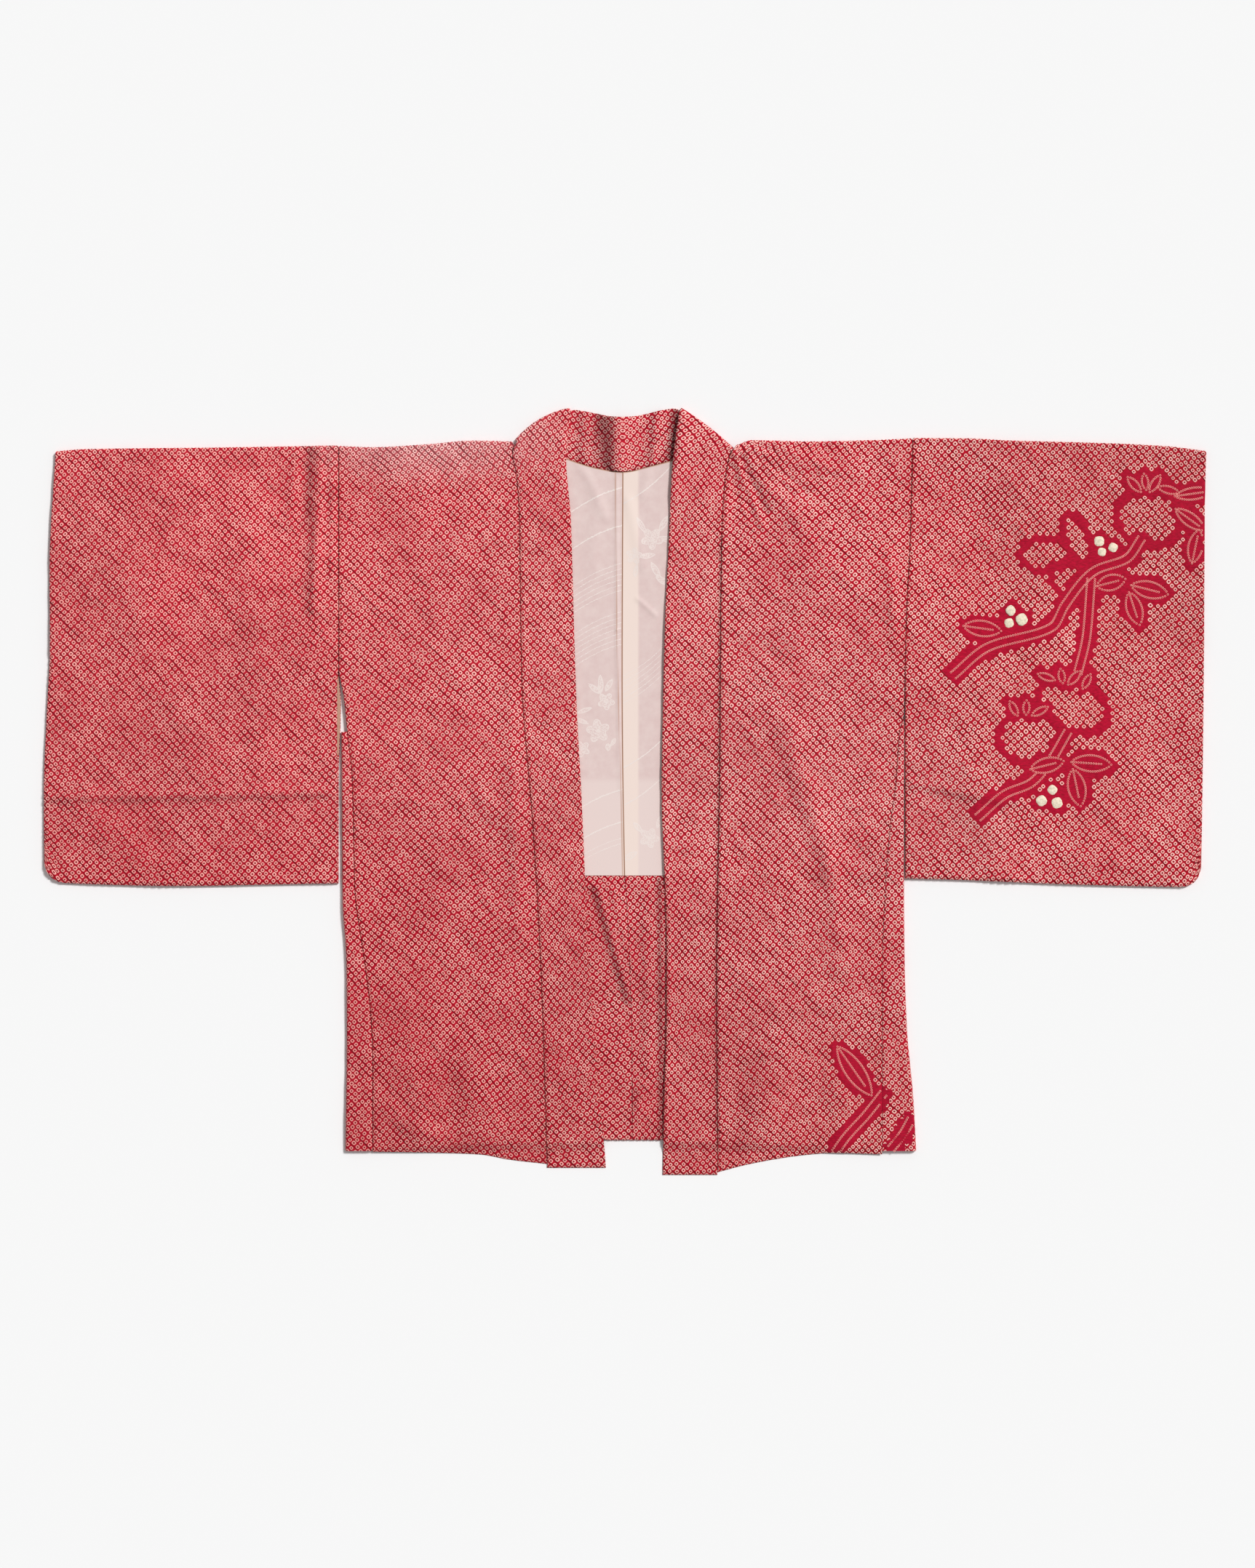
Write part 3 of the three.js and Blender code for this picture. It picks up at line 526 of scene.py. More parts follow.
def body_layout(side, depth, untied=None):
    """Where each point of a body length comes to lie: turn-up, hem fold, back, shoulder fold, front."""
    outward = SIDES[side]
    side_at, seam_at = BODY_SIDE[side], COLLAR_SEAM[side]
    shoulder_at, hem_at = SHOULDER[side], FRONT_HEM[side]
    neck = NECK_END[side]
    back_length = TURN_UP_RUN + HEM_RUN + BACK_RUN
    ends = np.cumsum([TURN_UP_RUN, HEM_RUN, BACK_RUN, SHOULDER_RUN, FRONT_RUN])
    starts = np.r_[0, ends[:-1]]
    sizes = np.diff(np.r_[0, ends])
    turn = HEM_RADIUS + CLOTH / 2

    def back_x(i, y):
        share = np.clip((i - BODY_OUTER) / BODY_INNER, 0, 1)
        inner = mix(neck, CENTRE_NECK, share) + share * (CENTRE_SEAM(y) - CENTRE_NECK + outward * SEAM / 2)
        return np.where(i <= BODY_OUTER, mix(side_at(y), neck, np.minimum(i / BODY_OUTER, 1)), inner)

    def front_x(i, y):
        return mix(side_at(y), seam_at(y) + outward * SEAM, np.clip(i / BODY_OUTER, 0, 1))

    def place(i, j, h):
        run = np.interp(j, [0, BODY_BACK, BODY_BACK + BODY_FRONT], [0, back_length, ends[-1]])
        part = np.minimum(np.searchsorted(ends, run - 1e-6), FRONT)
        share = [np.clip((run - start) / size, 0, 1) for start, size in zip(starts, sizes)]
        front_row = mix(CROWN_ROW, hem_at(front_x(i, HEM_ROW)), share[FRONT])
        tied = body_tied(i, j, h) | (h > 0) & (part == OVER)
        relief = depth * point_height(i, j)
        if untied:
            shows = smooth(untied(front_x(i, front_row), front_row) / 3 + 0.5)
            relief = relief * np.where(part == FRONT, shows, 1)
        half = h * (CLOTH / 2 + np.where(tied, relief, 0))
        edge = np.minimum(j * SQUARE, (BODY_BACK + BODY_FRONT - j) * SQUARE)
        edge = np.where(part >= OVER, np.minimum(edge, np.minimum(i, BODY_OUTER - i) * SQUARE), edge)
        half = half - np.where(h > 0, soft_edge(edge), 0)

        x = back_x(i, ROUGH_ROW)
        hem_top = BACK_HEM(x) + turn
        y = mix(TURN_UP_TOP, hem_top, share[TURN_UP])
        x = back_x(i, y)
        shown = smooth((TURN_UP_TOP - y) / SETTLING) * smooth((y - PRESSED_TO) / SETTLING)
        turn_up = (x, y, TURN_UP_MIDDLE + half + lift(TURN_UP_RIDGES, x, y) * shown)

        x = back_x(i, hem_top)
        angle = math.pi * share[HEM]
        hem = (
            x,
            BACK_HEM(x) + turn - (HEM_RADIUS + half) * np.sin(angle),
            (TURN_UP_MIDDLE + BACK_MIDDLE) / 2 + (HEM_RADIUS + half) * np.cos(angle),
        )

        row = mix(hem_top, CROWN_ROW, share[BACK])
        y = row
        for _ in range(2):  # the slanting sides move the row's top, so its place is found twice
            x = back_x(i, y)
            y = eased(row, np.where(i <= BODY_OUTER, shoulder_at(x) - SHOULDER_REACH, NECKLINE(x) - SEAM))
        back = (x, y, BACK_MIDDLE - half)

        x = mix(back_x(i, CROWN_ROW), front_x(i, CROWN_ROW - SHOULDER_REACH), share[OVER])
        crown = shoulder_at(x) - SHOULDER_REACH
        radius = (FRONT_MIDDLE + front_lift(x, crown) - BACK_MIDDLE) / 2
        angle = math.pi * share[OVER]
        shoulder = (
            x,
            crown + (SHOULDER_REACH - CLOTH / 2 + half) * np.sin(angle),
            BACK_MIDDLE + radius - (radius + half) * np.cos(angle),
        )

        x = front_x(i, front_row)
        x = front_x(i, eased(front_row, shoulder_at(x) - SHOULDER_REACH))
        y = eased(front_row, shoulder_at(x) - SHOULDER_REACH)
        front = (x, y, FRONT_MIDDLE + half + front_lift(x, y))

        parts = (turn_up, hem, back, shoulder, front)
        laid = [np.choose(part, [p[axis] for p in parts]) for axis in range(3)]
        return laid, (outward * i * SQUARE, j * SQUARE)

    return place, ends, back_length


def body_tied(i, j, h):
    """Points show on the front, on the shoulder fold, and on the turn-up between the fronts."""
    front = j > BODY_BACK
    turn_up = (j < TIED_TURN_UP) & (i > TIED_FROM)
    return (h > 0.5) & (front | turn_up)


def soft_edge(distance, reach=2.6, drop=0.9):
    """How far a face falls away as it nears a folded edge."""
    t = np.clip(1 - distance / reach, 0, 1)
    return drop * (1 - np.sqrt(1 - t * t))


def body(side, material, depth, untied=None):
    """One length of cloth from the turned-up hem, up the back and down the front."""
    place, ends, back_length = body_layout(side, depth, untied)
    piece = point_cloth(
        f"crepe_body_{side}",
        BODY_OUTER + BODY_INNER,
        BODY_BACK + BODY_FRONT,
        body_tied,
        gone=lambda i, j: (i > BODY_OUTER) & (j > BODY_BACK),
    )
    folds = [mix(ends[TURN_UP], ends[HEM], t) for t in (0.01, 0.25, 0.5, 0.75, 0.99)]
    folds += [mix(ends[BACK], ends[OVER], t) for t in (0.01, 0.2, 0.4, 0.6, 0.8, 0.99)]
    score(piece, 1, np.interp(folds, [0, back_length, ends[-1]], [0, BODY_BACK, BODY_BACK + BODY_FRONT]))
    lay(piece, place, untied)
    finish_sheet(piece, f"body_{side}", "kanoko_crepe", material)


# ---- gussets ----
GUSSET_HALF = 10  # columns either side of the fold
GUSSET_TURN = 1.8  # of them that the fold itself takes
GUSSET_ROUND = 5  # cloth from the fold's middle to its edge
GUSSET_ROW = 4


def gusset(side, material, untied=None):
    """A wedge folded in half along the side edge, between back and front."""
    outward = SIDES[side]
    seam_at, fold_at = BODY_SIDE[side], GUSSET_FOLD[side]
    rows = round((GUSSET_TOP[side] - GUSSET_HEM) / GUSSET_ROW)

    def place(i, j, h):
        y = mix(GUSSET_TOP[side], GUSSET_HEM, j / rows)
        seam_x = seam_at(y) + outward * SEAM
        reach = np.clip(np.abs(fold_at(y) - seam_x) * 0.75, 1.1, SHOULDER_REACH)
        edge_x = fold_at(y) - outward * reach
        rise = front_lift(seam_x, y)
        from_fold = i - GUSSET_HALF
        t = np.clip((np.abs(from_fold) - GUSSET_TURN) / (GUSSET_HALF - GUSSET_TURN), 0, 1)
        flat_x = mix(edge_x, seam_x, t)
        width = np.abs(seam_x - edge_x)
        half = h * CLOTH / 2 - np.where(h > 0, soft_edge((1 - t) * width), 0)
        angle = math.pi * np.clip((from_fold + GUSSET_TURN) / (2 * GUSSET_TURN), 0, 1)
        radius = (FRONT_MIDDLE + rise - BACK_MIDDLE) / 2
        x = flat_x + outward * (reach - CLOTH / 2 + half) * np.sin(angle)
        z = BACK_MIDDLE + radius - (radius + half) * np.cos(angle)
        turned_in = np.minimum(np.abs(from_fold) / GUSSET_TURN, 1) * GUSSET_ROUND
        across = np.sign(from_fold) * (t * width + turned_in)
        return (x, y, z), (-outward * across, y - GUSSET_HEM)

    piece = flat_grid(f"crepe_gusset_{side}", 2 * GUSSET_HALF, rows)
    thicken(piece)
    score(piece, 0, [GUSSET_HALF + GUSSET_TURN * t for t in (-1, -0.66, -0.33, 0.33, 0.66, 1)])
    lay(piece, place, untied)
    finish_sheet(piece, f"gusset_{side}", "kanoko_crepe", material)


# ---- sleeves ----
SLEEVE_ACROSS = 41
SLEEVE_FRONT = 61  # squares from the sewn bottom to the fold
SLEEVE_LONG = 2 * SLEEVE_FRONT + 1


def sleeve_layout(side, depth, untied=None):
    """One length of cloth folded at the top, closed along the bottom and the lower part of the cuff."""
    outward = SIDES[side]
    cuff_at, armhole_at, top_at, bottom_at = CUFF[side], ARMHOLE[side], SLEEVE_TOP[side], SLEEVE_BOTTOM[side]
    width = float(abs(cuff_at(0) - armhole_at(0)))
    middle = float(cuff_at(0) + armhole_at(0)) / 2
    height = float(top_at(middle) - bottom_at(middle))
    mouth_bottom = float(top_at(cuff_at(CROWN_ROW))) - WRIST_OPENING

    def inner_edge(y, front):
        """The right sleeve's front edge hangs free of the body under the arm."""
        edge = armhole_at(y) + outward * SEAM / 2
        if side == "left":
            return edge
        free = smooth((OPEN_EDGE["top"] - y) / 6) * smooth((y - OPEN_EDGE["bottom"]) / 6) * front
        return mix(edge, np.minimum(edge, OPEN_EDGE["x"]), free)

    def place(i, j, h):
        u = i / SLEEVE_ACROSS
        front = j < SLEEVE_FRONT
        folded = np.clip(j - SLEEVE_FRONT, 0, 1)
        v = np.where(front, j / SLEEVE_FRONT, (SLEEVE_LONG - j) / SLEEVE_FRONT)
        v = np.clip(v, 0, 1)
        rough = mix(bottom_at(middle), top_at(middle), v)
        upper = 1 - folded
        x = mix(cuff_at(rough), inner_edge(rough, upper), u)
        from_cuff = np.abs(cuff_at(rough) - x)
        short = np.maximum(CUFF_CORNER - from_cuff, 0)
        rounding = CUFF_CORNER - np.sqrt(CUFF_CORNER**2 - short**2)
        low, high = bottom_at(x), top_at(x) - SHOULDER_REACH
        y = mix(low, high, v)
        y = y + rounding * smooth(1 - (y - low) / (3 * CUFF_CORNER))
        x = mix(cuff_at(y), inner_edge(y, upper), u)

        closed = 1 - smooth((y - mouth_bottom) / 10)
        nearest = np.minimum(v * height, u * width + (1 - closed) * 2 * EDGE_ROLL)
        t = np.clip(1 - nearest / EDGE_ROLL, 0, 1)
        roll = 1 - np.sqrt(1 - t * t)
        rise = (lift(RIDGES, x, y) + wander(x, y)) * (1 - roll)
        relief = np.where(sleeve_tied(i, j, h), depth * point_height(i, j), 0)
        if untied:
            relief = relief * smooth(untied(x, y) / 3 + 0.5)
        free = np.minimum(u * width + closed * 9, (1 - u) * width)
        relief = relief - soft_edge(free)
        # At a sewn edge the front and the back close on each other and round off.
        outside = h > 0
        top_z = np.where(outside, FRONT_TOP - 2.2 * roll + relief, FRONT_BOTTOM - 1.2 * roll) + rise
        under_z = np.where(outside, 1.0 * roll, CLOTH + 1.1 * roll)
        radius = (FRONT_MIDDLE + rise - BACK_MIDDLE) / 2
        half = h * CLOTH / 2 + np.where(outside, relief, 0)
        angle = math.pi * folded
        folding = (folded > 0) & (folded < 1)
        y = y + np.where(folding, (SHOULDER_REACH - CLOTH / 2 + half) * np.sin(angle), 0)
        fold_z = BACK_MIDDLE + radius + (radius + half) * np.cos(angle)
        z = np.where(folding, fold_z, np.where(folded <= 0, top_z, under_z))
        return (x, y, z), (-outward * i * SQUARE, j * SQUARE)

    return place


def sleeve_tied(i, j, h):
    """Points show on the front and just over the fold."""
    return (h > 0.5) & (j < SLEEVE_FRONT + 0.6)


def sleeve(side, material, depth, untied=None):
    """One length of cloth folded at the top."""
    piece = point_cloth(f"crepe_sleeve_{side}", SLEEVE_ACROSS, SLEEVE_LONG, sleeve_tied)
    score(piece, 1, [SLEEVE_FRONT + t for t in (0.001, 0.17, 0.34, 0.5, 0.66, 0.83, 0.999)])
    lay(piece, sleeve_layout(side, depth, untied), untied)
    finish_sheet(piece, f"sleeve_{side}", "kanoko_crepe", material)


# ---- collar ----
FREE_EDGE = {
    "right": through(
        (-419, -21.3), (-389, -23.5), (-345, -28), (-188, -40.5), (-95, -44.5), (0, -48.6),
        (90, -53.5), (205, -57.3), (300, -60), (375, -65.6), (424, -61),
    ),
    "left": through(
        (-426, 42), (-345, 43.2), (-255, 46), (-170, 46.2), (-95, 44), (0, 40.6), (90, 42),
        (190, 44.5), (290, 49.2), (350, 51.6), (390, 55.5), (424, 60.5),
    ),
}
FAN = {
    "right": through((275, 0), (305, 1), (330, 6), (348, 13), (362, 20), (375, 27)),
    "left": through((275, 0), (305, 4), (330, 14), (348, 22), (362, 30), (375, 39)),
}
COLLAR_HEM = {"right": -419, "left": -426.9}
CREASE = {  # seam end, free end and bulge
    "right": ((-122.3, 391.5), (-62.4, 426.9), 6),
    "left": ((121, 382.2), (63, 426.9), 2),
}
BAND_TOP = (  # along the neck seam, then the band's free edge
    (-97, -55, 424.6), (-82, -51, 424), (-67, -45.5, 423), (-50, -38, 421.6), (-33, -28, 419.6),
    (-17, -16.5, 417.4), (-2.4, -5, 416.3), (12, 9, 417.2), (28, 24.5, 420), (45, 37.5, 423.4),
    (62, 47.5, 425.2), (80, 53.5, 426), (99, 57.5, 425.6),
)
COLLAR_ROWS = (  # heights up the seam at which a half is ruled across
    -400, -375, -345, -310, -275, -240, -205, -170, -130, -94, -60, -25, 10, 40, 66, 86,
    106, 136, 170, 205, 240, 275, 305, 330, 348, 362, 375,
)
STRETCHES = (  # of the strip, from its right hem to its left
    ("right", "front"), ("right", "fold"), ("right", "band"),
    ("left", "band"), ("left", "fold"), ("left", "front"),
)
BOWED = 5  # rulings on either side of a crease that share its bulge
BAND_SHOWS = 56  # from the middle of the neck band to where its folds have settled
BAND_EASE = 1.05  # cloth to the width that the band shows
COLLAR_ACROSS = 8  # squares
COLLAR_FOLD_RADIUS = (COLLAR_MIDDLE - BAND_MIDDLE) / 2


def collar_half(side):
    """One half of the strip, from its hem to its crease and on to the centre back, as smooth lines
    over the distance along its middle."""
    seam_at, free_at, ahead_at = COLLAR_SEAM[side], FREE_EDGE[side], FAN[side]
    (seam_x, seam_y), (free_x, free_y), bulge = CREASE[side]
    direction = np.array([free_x - seam_x, free_y - seam_y])
    direction *= np.sign(direction[0]) / np.hypot(*direction)
    out = np.array([-direction[1], direction[0]])
    pulled = out * (COLLAR_FOLD_RADIUS + COLLAR / 2)
    crease = [seam_x - pulled[0], seam_y - pulled[1], free_x - pulled[0], free_y - pulled[1]]
    front = []
    for row in (COLLAR_HEM[side], *COLLAR_ROWS):
        free_row = row + (float(ahead_at(row)) if row > EASED_FROM else 0)
        front.append([float(seam_at(row)), row, float(free_at(free_row)), free_row])
    front.append(crease)
    band_rows = [row for row in BAND_TOP if row[0] * SIDES[side] > 0 or row[0] == CENTRE_NECK]
    if side == "left":
        band_rows = band_rows[::-1]
    band = [crease] + [[x, float(NECKLINE(x)), fx, fy] for x, fx, fy in band_rows]

    def lines(rulings, from_crease):
        rulings = np.array(rulings)
        centre = (rulings[:, :2] + rulings[:, 2:]) / 2
        run = np.r_[0, np.cumsum(np.hypot(*np.diff(centre, axis=0).T))]
        bow = bulge * np.maximum(0, 1 - from_crease / BOWED)
        return [through(*zip(run, column)) for column in [*rulings.T, bow]], run[-1]

    front_lines, front_run = lines(front, np.arange(len(front))[::-1])
    band_lines, band_run = lines(band, np.arange(len(band)))
    # How far along the strip a height is, for its rows of points.
    middle = np.array([[(row[0] + row[2]) / 2, (row[1] + row[3]) / 2] for row in front[:-1]])
    run = np.r_[0, np.cumsum(np.hypot(*np.diff(middle, axis=0).T))]
    return {
        "front": front_lines,
        "front_run": front_run,
        "front_at": through(*zip(middle[:, 1], run)),
        "band": band_lines,
        "band_run": band_run,
        "out": out,
    }


def collar_plan():
    """Both halves, and how long each of the strip's six stretches is and where it ends."""
    halves = {side: collar_half(side) for side in SIDES}
    fold_run = math.pi * COLLAR_FOLD_RADIUS
    right, left = ([half["front_run"], fold_run, half["band_run"]] for half in halves.values())
    runs = right + left[::-1]
    return halves, runs, np.cumsum(runs)


def collar(material, depth):
    """The strip, folded in four, up one front, over a crease, round the neck and down the other."""
    halves, runs, ends = collar_plan()
    along = round(ends[-1] / SQUARE)
    per_square = ends[-1] / along
    starts = np.r_[0, ends[:-1]]
    turned_over = (ends[0] + runs[1] / 2, ends[4] - runs[4] / 2)  # between these the wrong side is up

    def tied(i, j, h):
        run = j * per_square
        under = (run > turned_over[0]) & (run < turned_over[1])
        return np.where(under, h < -0.5, h > 0.5)

    def place(i, j, h):
        run = j * per_square
        t = i / COLLAR_ACROSS
        part = np.minimum(np.searchsorted(ends, run - 1e-6), 5)
        share = np.clip((run - starts[part]) / np.array(runs)[part], 0, 1)
        values = np.zeros((5, len(run)))
        out = np.zeros((2, len(run)))
        angle = np.zeros(len(run))
        for number, (side, stretch) in enumerate(STRETCHES):
            here = part == number
            half = halves[side]
            passed = share[here] if side == "right" else 1 - share[here]
            if stretch == "fold":
                at, lines = np.full(here.sum(), half["front_run"]), half["front"]
                angle[here] = math.pi * passed
            else:
                at, lines = passed * half[f"{stretch}_run"], half[stretch]
                angle[here] = math.pi if stretch == "band" else 0
            for k, line in enumerate(lines):
                values[k, here] = line(at)
            out[:, here] = half["out"][:, None]
        seam_x, seam_y, free_x, free_y, bow = values
        bow = 4 * t * (1 - t) * bow
        x = mix(seam_x, free_x, t) + out[0] * bow
        y = mix(seam_y, free_y, t) + out[1] * bow
        # The rows of points run straight on to a crease, over it and out of sight.
        across, ahead = i * SQUARE, run.copy()
        for number in (0, 1, 4, 5):
            here = part == number
            side = STRETCHES[number][0]
            past = {1: run[here] - ends[0], 4: ends[4] - run[here]}.get(number, 0)
            flat_x, flat_y = x[here] + out[0, here] * past, y[here] + out[1, here] * past
            wide = FREE_EDGE[side](flat_y) - COLLAR_SEAM[side](flat_y)
            across[here] = COLLAR_ACROSS * SQUARE * (flat_x - COLLAR_SEAM[side](flat_y)) / wide
            from_hem = halves[side]["front_at"](flat_y)
            ahead[here] = from_hem if side == "right" else ends[-1] - from_hem
        band = (part == 2) | (part == 3)
        across = np.where(band, (y - NECKLINE(x)) * BAND_EASE, across)
        ahead = np.where(band, ends[2] - np.abs(x - CENTRE_NECK), ahead)

        # Relief shows only where the pattern still lies on the strip's own rows.
        slipped = smooth(np.abs(ahead - run) / 5)
        relief = mix(depth * point_height(i, j), -0.4 * depth, slipped)
        edge = np.minimum(np.minimum(t, 1 - t) * COLLAR_ACROSS, np.minimum(j, along - j)) * SQUARE
        wall = h * (COLLAR / 2 + np.where(tied(i, j, h), relief - soft_edge(edge, 3.4, 1.3), 0))
        rise = np.where(band, 0, front_lift(x, y)) / 2
        beyond = x - BAND_PLEAT["x"] - BAND_PLEAT["lean"] * (y - BAND_PLEAT["at"])
        pleat = BAND_PLEAT["height"] / (1 + np.exp(-beyond / BAND_PLEAT["rise"]))
        pleat = pleat * np.exp(-np.maximum(beyond, 0) / BAND_PLEAT["fall"])
        settled = smooth((BAND_SHOWS - np.abs(x)) / SETTLING) * band
        folds = (lift(BAND_RIDGES, x, y) + pleat) * settled
        reach = (COLLAR_FOLD_RADIUS + wall) * np.sin(angle)
        middle = (COLLAR_MIDDLE + BAND_MIDDLE) / 2 + rise
        z = middle + (COLLAR_FOLD_RADIUS + rise + wall) * np.cos(angle) + folds
        return (x + out[0] * reach, y + out[1] * reach, z), (across, ahead * SQUARE / per_square)

    piece = point_cloth("crepe_collar", COLLAR_ACROSS, along, tied)
    folds = [starts[k] + runs[k] * t for k in (1, 4) for t in (0.01, 0.2, 0.4, 0.6, 0.8, 0.99)]
    score(piece, 1, [fold / per_square for fold in folds] + [ends[2] / per_square])
    lay(piece, place, breaks=True)
    finish_sheet(piece, "collar", "kanoko_crepe", material)


# ---- the worked design: chains of very small points on bare crimson, with undyed berries ----
CHAIN_POINT = 2.5  # from one small point to the next
RING_RADIUS = 0.9
RING_THICKNESS = 0.38
BARE_ROUND_CHAIN = 7.0  # how far the cloth is left bare round a small point
BARE_ROUND_BERRY = 5  # and round a berry
FAR_AWAY = 15  # counts as clear of the design
BRANCHES = {  # along the middle of each pair of chains
    "sleeve": (
        ((365, 129), (403, 160), (475, 183), (489, 207), (522, 245), (558, 259), (574, 281)),
        ((518, 236), (513, 174), (503, 131)),
        ((492, 66), (475, 37), (451, 9), (423, -3), (392, -29)),
    ),
    "hem": (((287, -336), (268, -360), (245, -385), (234, -401)), ((318, -365), (309, -381), (296, -397))),
}
BRANCH_HALF = 4.3
LEAVES = {  # middle, length, width, turn in degrees, and how much of it the midrib runs
    "sleeve": (
        (397, 181, 42, 17, -8, 0.55),
        (540, 232, 33, 17, 14, 0.5), (583, 224, 42, 18, -14, 0.5), (566, 203, 38, 17, -72, 0.5),
        (632, 331, 42, 13, 8, 0.6), (628, 302, 40, 14, -36, 0.6), (634, 272, 38, 16, 78, 0.6),
        (469, 29, 38, 16, 14, 0.5), (518, 31, 44, 18, -4, 0.5), (502, 4, 42, 19, -78, 0.5),
        (566, 341, 22, 8, 132, 0), (578, 344, 18, 7, 98, 0), (589, 342, 22, 8, 58, 0),
        (604, 335, 24, 8, -14, 0), (468, 127, 20, 7, 160, 0), (485, 128, 16, 7, 100, 0),
        (499, 126, 20, 8, 48, 0), (513, 122, 18, 7, 62, 0),
        (432, 92, 18, 7, 118, 0), (446, 93, 16, 7, 88, 0), (461, 89, 20, 7, 28, 0),
    ),
    "hem": ((255, -311, 66, 20, -55, 0.6),),
}
# A bare band goes round each tied flower head and petal: its middle, half sizes and turn, and the
# band's half width.
HEADS = {
    "sleeve": (
        (582, 304, 36, 32, -12, 5), (498, 96, 42, 27, -32, 4.5), (451, 60, 36, 29, 6, 4.5),
        (466, 263, 27, 19, 2, 4), (503, 281, 13, 29, 22, 4), (489, 238, 17, 17, 0, 4),
    ),
    "hem": (),
}
BERRIES = {  # middle and radius
    "sleeve": (
        (429, 201, 6), (441, 191, 7), (427, 187, 5.6), (527, 278, 6), (530, 266, 5), (542.5, 271, 5.4),
        (475, 1.5, 5.6), (463, -10.5, 6.2), (480, -13, 6.4),
    ),
    "hem": (),
}


def turned(points, middle, degrees):
    """Points turned about the origin and then carried to a middle."""
    c, s = math.cos(math.radians(degrees)), math.sin(math.radians(degrees))
    return np.array(points) @ np.array([[c, s], [-s, c]]) + middle


def branch_chains(corners):
    """Two rows of small points, either side of a smooth line."""
    corners = np.array(corners, float)
    run = np.r_[0, np.cumsum(np.hypot(*np.diff(corners, axis=0).T))]
    at = np.linspace(0, run[-1], round(run[-1] / CHAIN_POINT))
    middle = np.stack([through(*zip(run, corner))(at) for corner in corners.T], 1)
    ahead = np.gradient(middle, axis=0)
    aside = np.stack([-ahead[:, 1], ahead[:, 0]], 1) / np.hypot(*ahead.T)[:, None] * BRANCH_HALF
    return np.concatenate([middle + aside, middle - aside])


def leaf_chains(x, y, length, width, degrees, midrib):
    """A leaf's outline, pointed at both ends, and its midrib."""
    t = np.linspace(-1, 1, round(1.08 * length / CHAIN_POINT))
    side = np.stack([t * length / 2, width / 2 * (1 - t * t) ** 0.8], 1)
    rows = [side, (side * (1, -1))[1:-1]]
    if midrib:
        rib = np.linspace(-0.9, midrib, round(length * (0.9 + midrib) / 2 / CHAIN_POINT))
        rows.append(np.stack([rib * length / 2, 0 * rib], 1))
    return turned(np.concatenate(rows), (x, y), degrees)


def behind_leaves(part, spots):
    """A branch's small points, less those that a leaf covers."""
    for x, y, length, width, degrees, _ in LEAVES[part]:
        u, v = turned(spots - (x, y), (0, 0), -degrees).T
        half = (width / 2) * np.maximum(1 - (2 * u / length) ** 2, 0) ** 0.8
        spots = spots[(np.abs(v) > half + CHAIN_POINT / 2) | (np.abs(u) > length / 2)]
    return spots


def chain_spots(part):
    """The middles of all the small points of one part of the design that fall on the cloth."""
    branches = behind_leaves(part, np.concatenate([branch_chains(line) for line in BRANCHES[part]]))
    spots = np.concatenate([branches] + [leaf_chains(*leaf) for leaf in LEAVES[part]])
    x, y = spots.T
    if part == "sleeve":
        return spots[x < CUFF["left"](y) - 3]
    on_cloth = (y > FRONT_HEM["left"](x) + 3) & (x < GUSSET_FOLD["left"](y) - 3)
    return spots[on_cloth & (np.abs(x - BODY_SIDE["left"](y)) > 2)]


def bare_cloth(part):
    """How far a place is into the tied cloth from the bare parts of the design; negative in them."""
    spots = [(x, y, BARE_ROUND_CHAIN) for x, y in chain_spots(part)]
    for x, y, wide, high, degrees, reach in HEADS[part]:
        angle = np.linspace(0, 2 * math.pi, 48, endpoint=False)
        outline = turned(np.stack([wide * np.cos(angle), high * np.sin(angle)], 1), (x, y), degrees)
        spots += [(*spot, reach) for spot in outline]
    spots += [(x, y, radius + BARE_ROUND_BERRY) for x, y, radius in BERRIES[part]]
    low, high = np.min(spots, 0)[:2] - FAR_AWAY, np.max(spots, 0)[:2] + FAR_AWAY

    def away(x, y):
        distance = np.full(len(x), float(FAR_AWAY))
        near = (x > low[0]) & (x < high[0]) & (y > low[1]) & (y < high[1])
        for spot_x, spot_y, reach in spots:
            distance[near] = np.minimum(distance[near], np.hypot(x[near] - spot_x, y[near] - spot_y) - reach)
        return distance

    return away


def design_height(part, x, y):
    """The top of the cloth that a part of the design lies on."""
    rise = front_lift(x, y) if part == "hem" else lift(RIDGES, x, y) + wander(x, y)
    return FRONT_TOP + rise


def chains(part, material):
    """A small ring on each spot, all in one piece."""
    x, y = chain_spots(part).T
    spots = np.stack([x, y, design_height(part, x, y) + 0.1], 1) * MM
    bpy.ops.object.select_all(action="DESELECT")
    bpy.ops.mesh.primitive_torus_add(
        major_radius=RING_RADIUS * MM,
        minor_radius=RING_THICKNESS * MM,
        major_segments=6,
        minor_segments=3,
        generate_uvs=False,
    )
    ring = bpy.context.object
    mesh = bpy.data.meshes.new("spots")
    mesh.from_pydata(spots.tolist(), [], [])
    holder = bpy.data.objects.new("spots", mesh)
    bpy.context.collection.objects.link(holder)
    ring.parent = holder
    holder.instance_type = "VERTS"
    bpy.ops.object.select_all(action="DESELECT")
    holder.select_set(True)
    bpy.context.view_layer.objects.active = holder
    bpy.ops.object.duplicates_make_real()
    bpy.data.objects.remove(ring)
    bpy.data.objects.remove(holder)
    bpy.context.view_layer.objects.active = bpy.context.selected_objects[0]
    bpy.ops.object.join()
    settle(f"design_{part}_chains", material)


